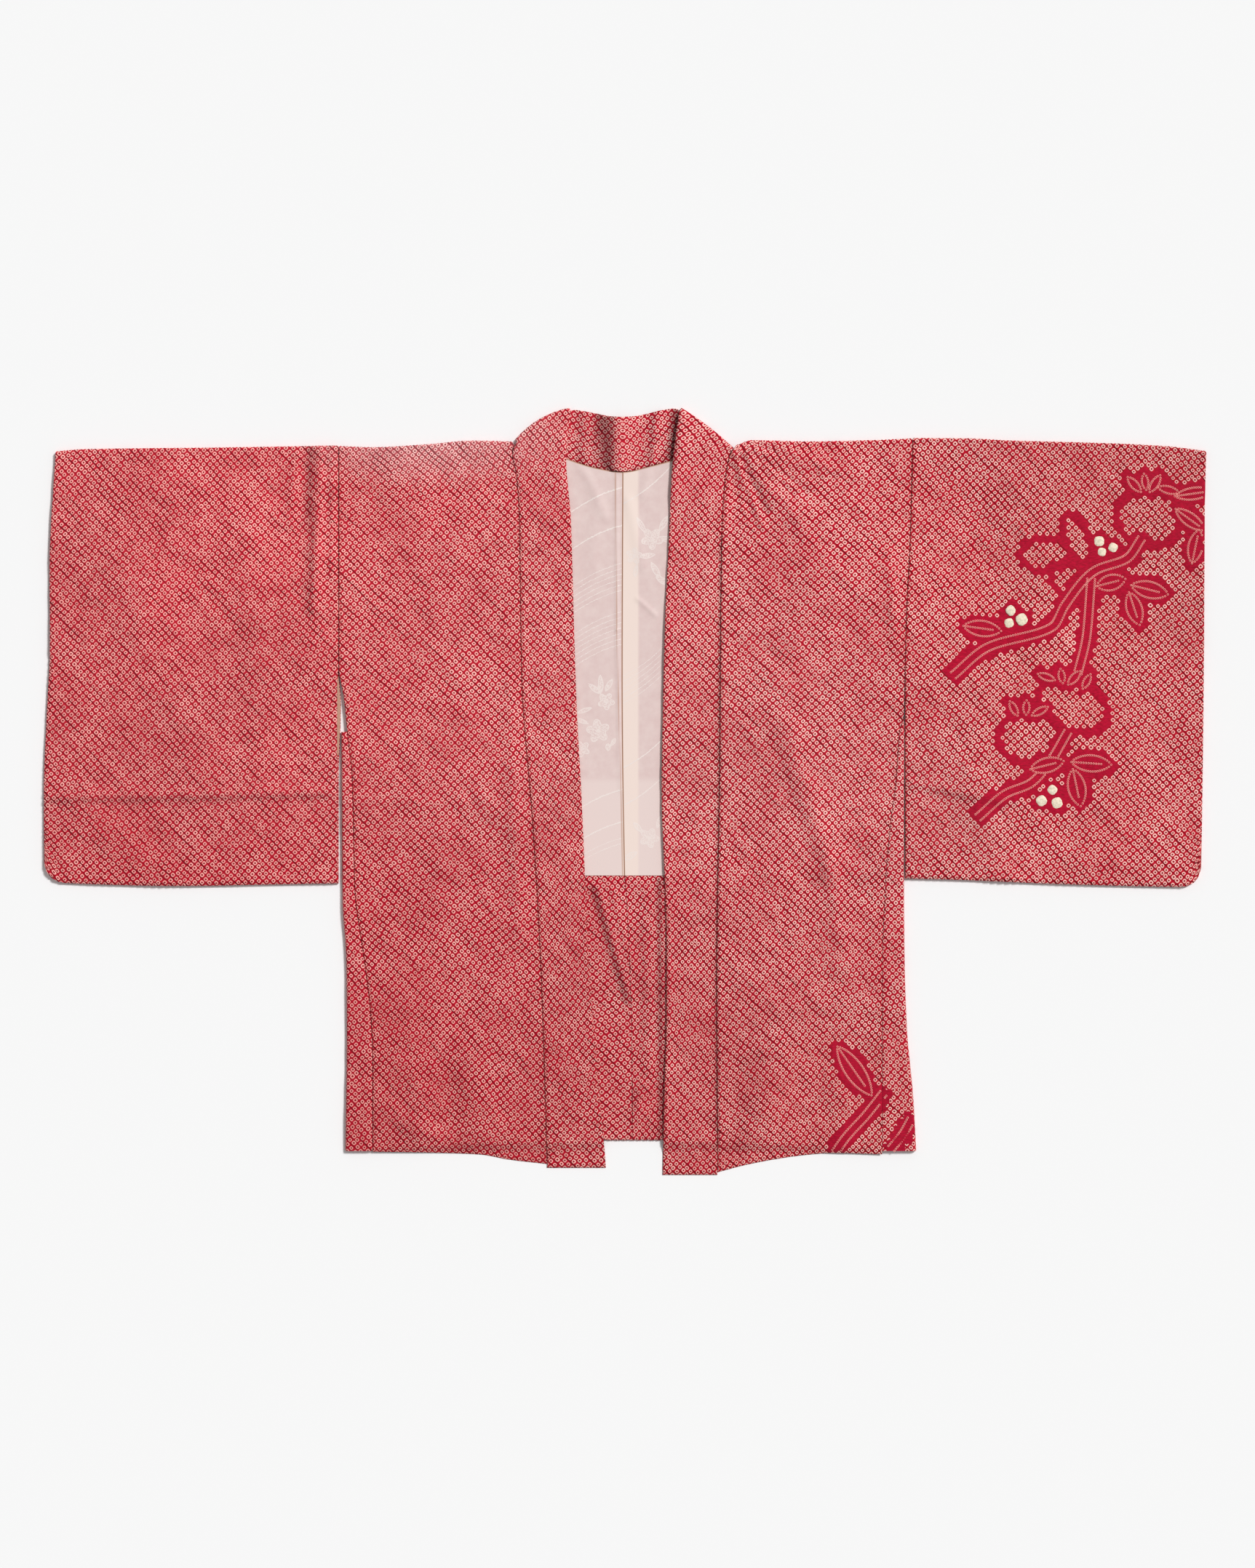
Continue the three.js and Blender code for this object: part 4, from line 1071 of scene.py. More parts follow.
def settle(name, material):
    """Names the active piece, puts its place in its mesh and hangs it on the frame."""
    piece = bpy.context.object
    bpy.ops.object.transform_apply(location=True, rotation=True, scale=True)
    bpy.ops.object.shade_smooth_by_angle(angle=math.radians(70))
    piece.name = piece.data.name = name
    piece.data.materials.clear()
    piece.data.materials.append(material)
    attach(piece, "root")


def berries(part, material):
    """Round tufts of cloth that were capped in the dye bath and stayed undyed."""
    domes = []
    for number, (x, y, radius) in enumerate(BERRIES[part]):
        height = float(design_height(part, np.array([x]), np.array([y]))[0])
        bpy.ops.object.select_all(action="DESELECT")
        bpy.ops.mesh.primitive_uv_sphere_add(segments=24, ring_count=12, radius=1)
        dome = bpy.context.object
        co = numbers(dome.data.vertices, "co", 3)
        angle = np.arctan2(co[:, 1], co[:, 0])
        # Gathered cloth: a squarish round with a crinkled flank, 1.5 mm high and sunk a little.
        swell = 1 + 0.05 * np.cos(4 * angle + number) + 0.025 * np.sin(9 * angle + 2 * number)
        co *= np.stack([radius * swell, radius * swell, np.full_like(swell, 1.5)], 1)
        co += (x, y, height - 0.3)
        dome.data.vertices.foreach_set("co", (co * MM).astype(np.float32).ravel())
        dome.data.update()
        domes.append(dome)
    for dome in domes:
        dome.select_set(True)
    bpy.context.view_layer.objects.active = domes[0]
    bpy.ops.object.join()
    settle(f"design_{part}_berries", material)


# ---- linings ----
LINING_EDGE = {"right": -97, "left": 99}
LINING_GRID = 2.0
LINING_TOP = 356
LINING_PLEAT = through((-90, -2.6), (0, -4.6), (180, -9), (330, -10.5))
NO_PLEAT = 9  # a distance at which the pleat's shade has ended
LINING_RIDGES = (
    (-9.6, 350, -9, 180, 1.5, 0.9),  # a pleat beside the seam
    (-9, 180, -4.5, 0, 1.5, 0.8),
    (14, 214, 34, 196, 2.4, 0.8),
    (4, 322, 20, 250, 7, 0.7),
    (-46, 360, -22, 306, 6, 0.8),
    (30, 368, 20, 330, 5, 0.6),
    (-30, 340, -36, 250, 9, 0.5),
)
FIGURE_ROW = 6.0  # between lines of the woven figure
FIGURE_ROWS = {  # groups of lines, and lines alone, by their height at the left edge
    "right": (
        (207, 243, 1), (147, 189, 1), (321, 327, 2), (279, 285, 2),
        (-15, -9, 2), (-51, -45, 2), (-75, -63, 1),
    ),
    "left": ((81, 117, 1), (303, 309, 2), (9, 15, 2), (-33, -27, 2)),
}
SPRIG_FLOWERS = (  # middle, radius, petals, turn
    (30, 281, 12, 5, 0.3), (10, 262, 9, 5, 1.1), (-21, 100, 9.5, 5, 0.2), (-30, 67, 13, 5, 0.8),
    (-48, 47, 9, 5, 0.5), (27, -52, 11, 5, 0.1),
)
SPRIG_LEAVES = (  # middle, length, width, turn
    (18, 296, 20, 5, 120), (43, 298, 20, 6, 60), (47, 280, 18, 6, -20), (25, 262, 18, 5, 10),
    (34, 246, 20, 6, -60), (42, 234, 18, 6, -30), (12, 245, 14, 4, -100), (-34, 114, 18, 5, 140),
    (-27, 120, 20, 5, 95), (-18, 118, 16, 5, 60), (-45, 90, 18, 4, 20), (-48, 78, 16, 4, 160),
    (-19, 49, 9, 5, 100), (-13, 55, 9, 4, 60), (6, -72, 18, 6, 30), (38, -34, 16, 5, 70),
    (14, -40, 14, 5, 130),
)


def figure_row(x, y):
    """Lines of the figure rise towards the wearer's left in a long curve."""
    past = np.maximum(x, -3) + 3
    before = np.minimum(x, -3) + 60
    return y - 0.72 * before + 0.0042 * before**2 - 0.45 * past - 0.006 * past**2 + 13.6


def sprig(x, y):
    """How far inside a petal or leaf of a sprig a place is."""
    inside = np.full(len(x), -9.0)
    for middle_x, middle_y, radius, petals, turn in SPRIG_FLOWERS:
        away = np.hypot(x - middle_x, y - middle_y)
        angle = np.arctan2(y - middle_y, x - middle_x) + turn
        petal = radius * (0.5 + 0.5 * np.abs(np.cos(petals * angle / 2)))
        inside = np.maximum(inside, np.minimum(petal - away, away - 1.6))
    for middle_x, middle_y, length, width, degrees in SPRIG_LEAVES:
        u, v = turned(np.stack([x - middle_x, y - middle_y], 1), (0, 0), -degrees).T
        inside = np.maximum(inside, width / 2 * (1 - np.minimum(np.abs(2 * u / length), 2) ** 2) - np.abs(v))
    return inside


def lining(side, material):
    """One half of the back lining, with the marks that its material reads its woven figure from."""
    outward = SIDES[side]
    edge = LINING_EDGE[side]
    bottom = TURN_UP_TOP + SEAM
    across = round(abs(edge - CENTRE_NECK) / LINING_GRID)
    along = round((LINING_TOP - bottom) / LINING_GRID)

    def place(i, j, h):
        share = i / across

        def x_at(y):
            return mix(edge, CENTRE_NECK, share) + share * (CENTRE_SEAM(y) - CENTRE_NECK + outward * SEAM / 2)

        row = mix(bottom, CROWN_ROW, j / along)
        x = x_at(row)
        x = x_at(eased(row, NECKLINE(x) - SEAM))
        y = eased(row, NECKLINE(x) - SEAM)
        rise = lift(LINING_RIDGES, x, y) * smooth(np.minimum(i, across - i) * LINING_GRID / 4)
        rise = rise * smooth((y - bottom) / 12) * smooth((along - j) / 6)
        z = CLOTH + SEAM + np.where(h > 0, LINING + rise, 0)
        return (x, y, z), ((across - i) * LINING_GRID, (along - j) * LINING_GRID)

    piece = flat_grid(f"damask_lining_{side}", across, along)
    thicken(piece)
    lay(piece, place)
    x, y, _ = numbers(piece.data.vertices, "co", 3).T / MM
    row = figure_row(x, y)
    shown = sum(strength * ((row > low) & (row < high)) for low, high, strength in FIGURE_ROWS[side])
    mark(piece, "row", row * MM)
    mark(piece, "pleat", (np.abs(x - LINING_PLEAT(y)) if side == "right" else np.full_like(x, NO_PLEAT)) * MM)
    mark(piece, "shown", shown)
    mark(piece, "sprig", sprig(x, y) * MM)
    finish_sheet(piece, f"lining_{side}", "lining_damask", material)


def sleeve_lining(material):
    """The sliver of lining that shows beside the right armhole."""
    across, along = 6, 22
    edge_at = ARMHOLE["right"]

    def place(i, j, h):
        y = mix(SLEEVE_LINING["bottom"], SLEEVE_LINING["top"], j / along)
        x = mix(SLEEVE_LINING["outer"], edge_at(y) - 2 * SEAM, i / across)
        return (x, y, CLOTH + SEAM + np.where(h > 0, LINING, 0)), (x, y)

    piece = flat_grid("damask_sleeve_lining_right", across, along)
    thicken(piece)
    lay(piece, place)
    finish_sheet(piece, "sleeve_lining_right", "lining_damask", material)


# ---- materials ----
VALUE, LOW, HIGH, AT_LOW, AT_HIGH = range(5)  # inputs of a Map Range
FACTOR, FIRST, SECOND = 0, 6, 7  # inputs of a colour Mix, which gives its colour as output 2
MIXED = 2
COLOURS = {"data_type": "RGBA"}
SMOOTHLY = {"interpolation_type": "SMOOTHSTEP"}
FLAT = {"noise_dimensions": "2D"}


def add(tree, kind, settings=None, inputs=None):
    """Adds a node with its settings; an input is a value or another node's output to link."""
    node = tree.nodes.new(kind)
    for name, value in (settings or {}).items():
        setattr(node, name, value)
    for key, value in (inputs or {}).items():
        if isinstance(value, bpy.types.NodeSocket):
            tree.links.new(value, node.inputs[key])
        else:
            node.inputs[key].default_value = value
    return node


def start_material(name):
    """A new material, its node tree and its shader."""
    material = bpy.data.materials.new(name)
    material.use_nodes = True
    tree = material.node_tree
    return material, tree, tree.nodes["Principled BSDF"]


def kanoko_crepe(colours):
    """Tie-dyed silk crepe: each point was bound by hand before the crimson bath, so it keeps a pale ring
    round a dark spot where the thread sat. The furrows along one bias direction are darkened with painted
    shade, as are the folds and the cuffs, and a painted reflection and a painted highlight tint the rings
    towards the right sleeve and the cloth along the right shoulder."""
    material, tree, shader = start_material("tie_dyed_silk_crepe")
    cloth_uv = add(tree, "ShaderNodeUVMap", {"uv_map": "cloth"}).outputs["UV"]
    where = add(tree, "ShaderNodeTexCoord").outputs["Object"]
    place = add(tree, "ShaderNodeSeparateXYZ", None, {0: where}).outputs
    squares = add(
        tree, "ShaderNodeVectorMath", {"operation": "SCALE"}, {0: cloth_uv, "Scale": 1 / (SQUARE * MM)}
    ).outputs[0]
    # Rows tied by hand wander by a few tenths of a millimetre, over about 25 mm.
    unrest = add(tree, "ShaderNodeTexNoise", FLAT, {"Vector": squares, "Scale": 0.32, "Detail": 1.0})
    centred = add(
        tree,
        "ShaderNodeVectorMath",
        {"operation": "SUBTRACT"},
        {0: unrest.outputs["Color"], 1: (0.5, 0.5, 0.5)},
    )
    tied = add(
        tree,
        "ShaderNodeVectorMath",
        {"operation": "MULTIPLY_ADD"},
        {0: centred.outputs[0], 1: (0.3, 0.3, 0), 2: squares},
    ).outputs[0]
    part = add(tree, "ShaderNodeSeparateXYZ", None, {0: tied}).outputs
    p = add(tree, "ShaderNodeMath", {"operation": "ADD"}, {0: part["X"], 1: part["Y"]}).outputs[0]
    in_step = add(
        tree, "ShaderNodeMath", {"operation": "SUBTRACT"}, {0: part["X"], 1: part["Y"]}
    ).outputs[0]
    to_p = add(tree, "ShaderNodeMath", {"operation": "PINGPONG"}, {0: p, 1: 0.5}).outputs[0]
    # Each row was tied by itself and lies up to a quarter of a point out of its place, but not beside
    # the design, where whole points end at its edge.
    row_number = add(tree, "ShaderNodeMath", {"operation": "FLOOR"}, {0: p}).outputs[0]
    own_step = add(
        tree, "ShaderNodeTexWhiteNoise", {"noise_dimensions": "1D"}, {"W": row_number}
    ).outputs["Value"]
    held = add(tree, "ShaderNodeAttribute", {"attribute_name": "held"}).outputs["Fac"]
    reach = add(tree, "ShaderNodeMapRange", None, {VALUE: held, AT_LOW: 0.54, AT_HIGH: 0.0}).outputs[0]
    from_middle_step = add(
        tree, "ShaderNodeMath", {"operation": "SUBTRACT"}, {0: own_step, 1: 0.5}
    ).outputs[0]
    q = add(
        tree, "ShaderNodeMath", {"operation": "MULTIPLY_ADD"}, {0: from_middle_step, 1: reach, 2: in_step}
    ).outputs[0]

    # Which point this is, for what differs from one to the next.
    floor_q = add(tree, "ShaderNodeMath", {"operation": "FLOOR"}, {0: q}).outputs[0]
    cell = add(tree, "ShaderNodeCombineXYZ", None, {0: row_number, 1: floor_q}).outputs[0]
    each = add(tree, "ShaderNodeTexWhiteNoise", FLAT, {"Vector": cell})
    by_colour = add(tree, "ShaderNodeSeparateColor", None, {0: each.outputs["Color"]}).outputs

    # Painted shade: the furrows along one bias direction lie in shade between rows of points, so they are
    # darkened, and in places, set by noise along each row, drawn as long dark lines; the others are left as
    # ground.
    furrow_p = add(tree, "ShaderNodeMath", {"operation": "ROUND"}, {0: p}).outputs[0]
    row = add(tree, "ShaderNodeMath", {"operation": "MULTIPLY"}, {0: furrow_p, 1: 1.9}).outputs[0]
    along = add(tree, "ShaderNodeMath", {"operation": "MULTIPLY"}, {0: q, 1: 0.17}).outputs[0]
    row_shade_at = add(tree, "ShaderNodeCombineXYZ", None, {0: row, 1: along}).outputs[0]
    row_shade_noise = add(
        tree, "ShaderNodeTexNoise", FLAT, {"Vector": row_shade_at, "Scale": 1.0, "Detail": 2.0}
    ).outputs[0]
    row_shade = add(tree, "ShaderNodeMapRange", SMOOTHLY, {VALUE: row_shade_noise, LOW: 0.4, HIGH: 0.68}).outputs[0]

    # Each ring is a rounded square, a little out of place and of its own size.
    offset = add(
        tree,
        "ShaderNodeVectorMath",
        {"operation": "MULTIPLY_ADD"},
        {0: each.outputs["Color"], 1: (0.14,) * 3, 2: (-0.57,) * 3},
    ).outputs[0]
    both_ways = add(tree, "ShaderNodeCombineXYZ", None, {0: p, 1: q}).outputs[0]
    local = add(tree, "ShaderNodeVectorMath", {"operation": "FRACTION"}, {0: both_ways}).outputs[0]
    placed = add(tree, "ShaderNodeVectorMath", {"operation": "ADD"}, {0: local, 1: offset}).outputs[0]
    unsigned = add(tree, "ShaderNodeVectorMath", {"operation": "ABSOLUTE"}, {0: placed}).outputs[0]
    off = add(tree, "ShaderNodeSeparateXYZ", None, {0: unsigned}).outputs
    cube_p = add(tree, "ShaderNodeMath", {"operation": "POWER"}, {0: off["X"], 1: 3.0}).outputs[0]
    cube_q = add(tree, "ShaderNodeMath", {"operation": "POWER"}, {0: off["Y"], 1: 3.0}).outputs[0]
    cubes = add(tree, "ShaderNodeMath", {"operation": "ADD"}, {0: cube_p, 1: cube_q}).outputs[0]
    rounded = add(tree, "ShaderNodeMath", {"operation": "POWER"}, {0: cubes, 1: 1 / 3}).outputs[0]
    sized = add(
        tree, "ShaderNodeMapRange", None, {VALUE: each.outputs["Value"], AT_LOW: 0.92, AT_HIGH: 1.1}
    ).outputs[0]
    # Rings shrink a little where the painted row shade is deep.
    squeezed = add(
        tree, "ShaderNodeMath", {"operation": "MULTIPLY_ADD"}, {0: row_shade, 1: 0.1, 2: sized}
    ).outputs[0]
    from_middle = add(
        tree, "ShaderNodeMath", {"operation": "MULTIPLY"}, {0: rounded, 1: squeezed}
    ).outputs[0]
    ring = add(tree, "ShaderNodeValToRGB", None, {0: from_middle})
    stops = ring.color_ramp.elements
    for position in (0.14, 0.205, 0.345, 0.42):
        stops.new(position)
    for stop, level in zip(stops, (0, 0, 1, 1, 0, 0)):
        stop.color = (level, level, level, 1)
    # Some rings took more dye than others, singly and in patches about 70 mm wide.
    single = add(
        tree, "ShaderNodeMapRange", None, {VALUE: by_colour[2], AT_LOW: 0.8, AT_HIGH: 1.0}
    ).outputs[0]
    patches = add(
        tree,
        "ShaderNodeTexNoise",
        None,
        {"Vector": where, "Scale": 1 / (70 * MM), "Detail": 4.0, "Roughness": 0.65},
    ).outputs[0]
    patched = add(
        tree, "ShaderNodeMapRange", None, {VALUE: patches, LOW: 0.3, HIGH: 0.7, AT_LOW: 0.74, AT_HIGH: 1.12}
    ).outputs[0]
    both = add(tree, "ShaderNodeMath", {"operation": "MULTIPLY"}, {0: single, 1: patched}).outputs[0]
    kept = add(tree, "ShaderNodeMath", {"operation": "MULTIPLY"}, {0: ring.outputs[0], 1: both}).outputs[0]

    furrow, ground, pale, warm, dimple = (
        (*getattr(colours, n), 1) for n in ("furrow", "ground", "ring", "ring_in_reflection", "dimple")
    )
    # Painted reflection: the rings towards the right sleeve are drawn more salmon than the left half's, where
    # a reflection of the light hazes them.
    leftward = add(
        tree, "ShaderNodeMapRange", SMOOTHLY, {VALUE: place["X"], LOW: -0.5, HIGH: 0.3}
    ).outputs[0]
    ring_with_reflection = add(
        tree, "ShaderNodeMix", COLOURS, {FACTOR: leftward, FIRST: warm, SECOND: pale}
    ).outputs[MIXED]
    near_line = add(
        tree,
        "ShaderNodeMapRange",
        SMOOTHLY,
        {VALUE: to_p, LOW: 0.02, HIGH: 0.16, AT_LOW: 1.0, AT_HIGH: 0.0},
    ).outputs[0]
    # Painted shade in the furrows along one bias direction, with darker lines of it where the row shade is
    # deep.
    furrow_shade = add(tree, "ShaderNodeMath", {"operation": "MULTIPLY"}, {0: near_line, 1: 0.7}).outputs[0]
    line = add(tree, "ShaderNodeMath", {"operation": "MULTIPLY"}, {0: near_line, 1: row_shade}).outputs[0]
    dye = add(
        tree, "ShaderNodeMix", COLOURS, {FACTOR: furrow_shade, FIRST: ground, SECOND: furrow}
    ).outputs[MIXED]
    row_shadow_colour = (*[c * 0.4 for c in furrow[:3]], 1)
    lined = add(tree, "ShaderNodeMix", COLOURS, {FACTOR: line, FIRST: dye, SECOND: row_shadow_colour}).outputs[MIXED]
    ringed = add(
        tree, "ShaderNodeMix", COLOURS, {FACTOR: kept, FIRST: lined, SECOND: ring_with_reflection}
    ).outputs[MIXED]
    middle = add(
        tree,
        "ShaderNodeMapRange",
        SMOOTHLY,
        {VALUE: from_middle, LOW: 0.11, HIGH: 0.19, AT_LOW: 0.95, AT_HIGH: 0.0},
    ).outputs[0]
    dotted = add(
        tree, "ShaderNodeMix", COLOURS, {FACTOR: middle, FIRST: ringed, SECOND: dimple}
    ).outputs[MIXED]

    # Bare parts of the design: crimson crepe with its crinkle, 1 mm, lying across the cloth.
    bare = add(tree, "ShaderNodeAttribute", {"attribute_name": "bare"}).outputs["Fac"]
    across = add(
        tree, "ShaderNodeVectorMath", {"operation": "MULTIPLY"}, {0: cloth_uv, 1: (0.35, 1, 1)}
    ).outputs[0]
    crinkle = add(
        tree, "ShaderNodeTexNoise", None, {"Vector": across, "Scale": 1 / (1.6 * MM), "Detail": 2.0}
    ).outputs[0]
    crinkled = add(tree, "ShaderNodeMapRange", None, {VALUE: crinkle, LOW: 0.3, HIGH: 0.7}).outputs[0]
    bare_low, bare_high = (*colours.bare_low, 1), (*colours.bare_high, 1)
    plain = add(
        tree, "ShaderNodeMix", COLOURS, {FACTOR: crinkled, FIRST: bare_low, SECOND: bare_high}
    ).outputs[MIXED]
    worked = add(
        tree, "ShaderNodeMix", COLOURS, {FACTOR: bare, FIRST: dotted, SECOND: plain}
    ).outputs[MIXED]

    # Tone over the laid-out cloth, each a slope: deeper towards the hem; painted shade, darker towards both
    # cuffs and in folds and creases; and a painted highlight that pales the cloth along the right shoulder.
    # Broad random patches vary it as well.
    # Painted shade in folds and creases.
    gathered = add(tree, "ShaderNodeAttribute", {"attribute_name": "gathered"}).outputs["Fac"]
    broad = add(
        tree, "ShaderNodeTexNoise", None, {"Vector": where, "Scale": 1 / (160 * MM), "Detail": 2.0}
    ).outputs[0]
    to_right_cuff = add(
        tree, "ShaderNodeVectorMath", {"operation": "DOT_PRODUCT"}, {0: where, 1: (-2, -1, 0)}
    ).outputs["Value"]
    to_left_cuff = add(
        tree, "ShaderNodeVectorMath", {"operation": "DOT_PRODUCT"}, {0: where, 1: (1, 1, 0)}
    ).outputs["Value"]
    drawn_long = add(
        tree, "ShaderNodeVectorMath", {"operation": "MULTIPLY"}, {0: where, 1: (0.4, 1, 0)}
    ).outputs[0]
    from_shoulder_highlight = add(
        tree, "ShaderNodeVectorMath", {"operation": "DISTANCE"}, {0: drawn_long, 1: (-0.088, 0.398, 0)}
    ).outputs["Value"]
    tone = saturation = 1.0
    for value, low, high, at_low, at_high in (
        (broad, 0.3, 0.7, 0.96, 1.08),
        # darker towards the hem
        (place["Y"], -0.4, 0.3, 0.885, 1.05),
        # painted shade towards the right cuff
        (to_right_cuff, 0.5, 1.0, 1.0, 0.94),
        # painted shade towards the left cuff
        (to_left_cuff, 0.62, 0.88, 1.0, 0.86),
        # painted shade in folds and creases
        (gathered, 0.0, 1.0, 1.0, 0.28),
    ):
        step = add(
            tree,
            "ShaderNodeMapRange",
            None,
            {VALUE: value, LOW: low, HIGH: high, AT_LOW: at_low, AT_HIGH: at_high},
        ).outputs[0]
        tone = add(tree, "ShaderNodeMath", {"operation": "MULTIPLY"}, {0: tone, 1: step}).outputs[0]
    for value, low, high, at_low, at_high in (
        # fuller towards the hem
        (place["Y"], -0.4, -0.02, 1.07, 1.0),
        (to_left_cuff, 0.35, 0.58, 1.0, 1.04),
        # painted highlight: paler beside the right shoulder
        (from_shoulder_highlight, 0.015, 0.065, 0.78, 1.0),
    ):
        step = add(
            tree,
            "ShaderNodeMapRange",
            None,
            {VALUE: value, LOW: low, HIGH: high, AT_LOW: at_low, AT_HIGH: at_high},
        ).outputs[0]
        saturation = add(
            tree, "ShaderNodeMath", {"operation": "MULTIPLY"}, {0: saturation, 1: step}
        ).outputs[0]
    # The dye, with the painted shade and the painted highlight over it.
    dyed = add(
        tree, "ShaderNodeHueSaturation", None, {"Color": worked, "Saturation": saturation, "Value": tone}
    ).outputs[0]
    tree.links.new(dyed, shader.inputs["Base Color"])

    # Crepe grain, 0.5 mm, over the swell of each ring.
    grain = add(
        tree, "ShaderNodeTexNoise", None, {"Vector": cloth_uv, "Scale": 1 / (0.9 * MM), "Detail": 2.0}
    ).outputs[0]
    swell = add(tree, "ShaderNodeMath", {"operation": "SUBTRACT"}, {0: 1.0, 1: bare}).outputs[0]
    raised = add(
        tree, "ShaderNodeMath", {"operation": "MULTIPLY"}, {0: ring.outputs[0], 1: swell}
    ).outputs[0]
    height = add(
        tree, "ShaderNodeMath", {"operation": "MULTIPLY_ADD"}, {0: grain, 1: 0.7, 2: raised}
    ).outputs[0]
    bump = add(tree, "ShaderNodeBump", None, {"Height": height, "Strength": 0.5, "Distance": 0.35 * MM})
    tree.links.new(bump.outputs[0], shader.inputs["Normal"])
    rough = add(tree, "ShaderNodeMapRange", None, {VALUE: grain, AT_LOW: 0.7, AT_HIGH: 0.9}).outputs[0]
    tree.links.new(rough, shader.inputs["Roughness"])
    shader.inputs["Sheen Weight"].default_value = 0.06
    shader.inputs["Specular IOR Level"].default_value = 0.2
    return material


def bound_silk(name, low, high, grain_size):
    """Silk crepe that was bound tight in the bath: it stayed pale, and its gathers, grain_size
    millimetres wide, catch a little dye."""
    material, tree, shader = start_material(name)
    where = add(tree, "ShaderNodeTexCoord").outputs["Object"]
    gathers = add(
        tree, "ShaderNodeTexNoise", None, {"Vector": where, "Scale": 1 / (grain_size * MM), "Detail": 3.0}
    ).outputs[0]
    caught = add(tree, "ShaderNodeMapRange", None, {VALUE: gathers, LOW: 0.32, HIGH: 0.6}).outputs[0]
    base = add(
        tree, "ShaderNodeMix", COLOURS, {FACTOR: caught, FIRST: (*low, 1), SECOND: (*high, 1)}
    ).outputs[MIXED]
    tree.links.new(base, shader.inputs["Base Color"])
    bump = add(tree, "ShaderNodeBump", None, {"Height": gathers, "Strength": 0.5, "Distance": 0.4 * MM})
    tree.links.new(bump.outputs[0], shader.inputs["Normal"])
    rough = add(tree, "ShaderNodeMapRange", None, {VALUE: gathers, AT_LOW: 0.7, AT_HIGH: 0.9}).outputs[0]
    tree.links.new(rough, shader.inputs["Roughness"])
    shader.inputs["Specular IOR Level"].default_value = 0.25
    return material


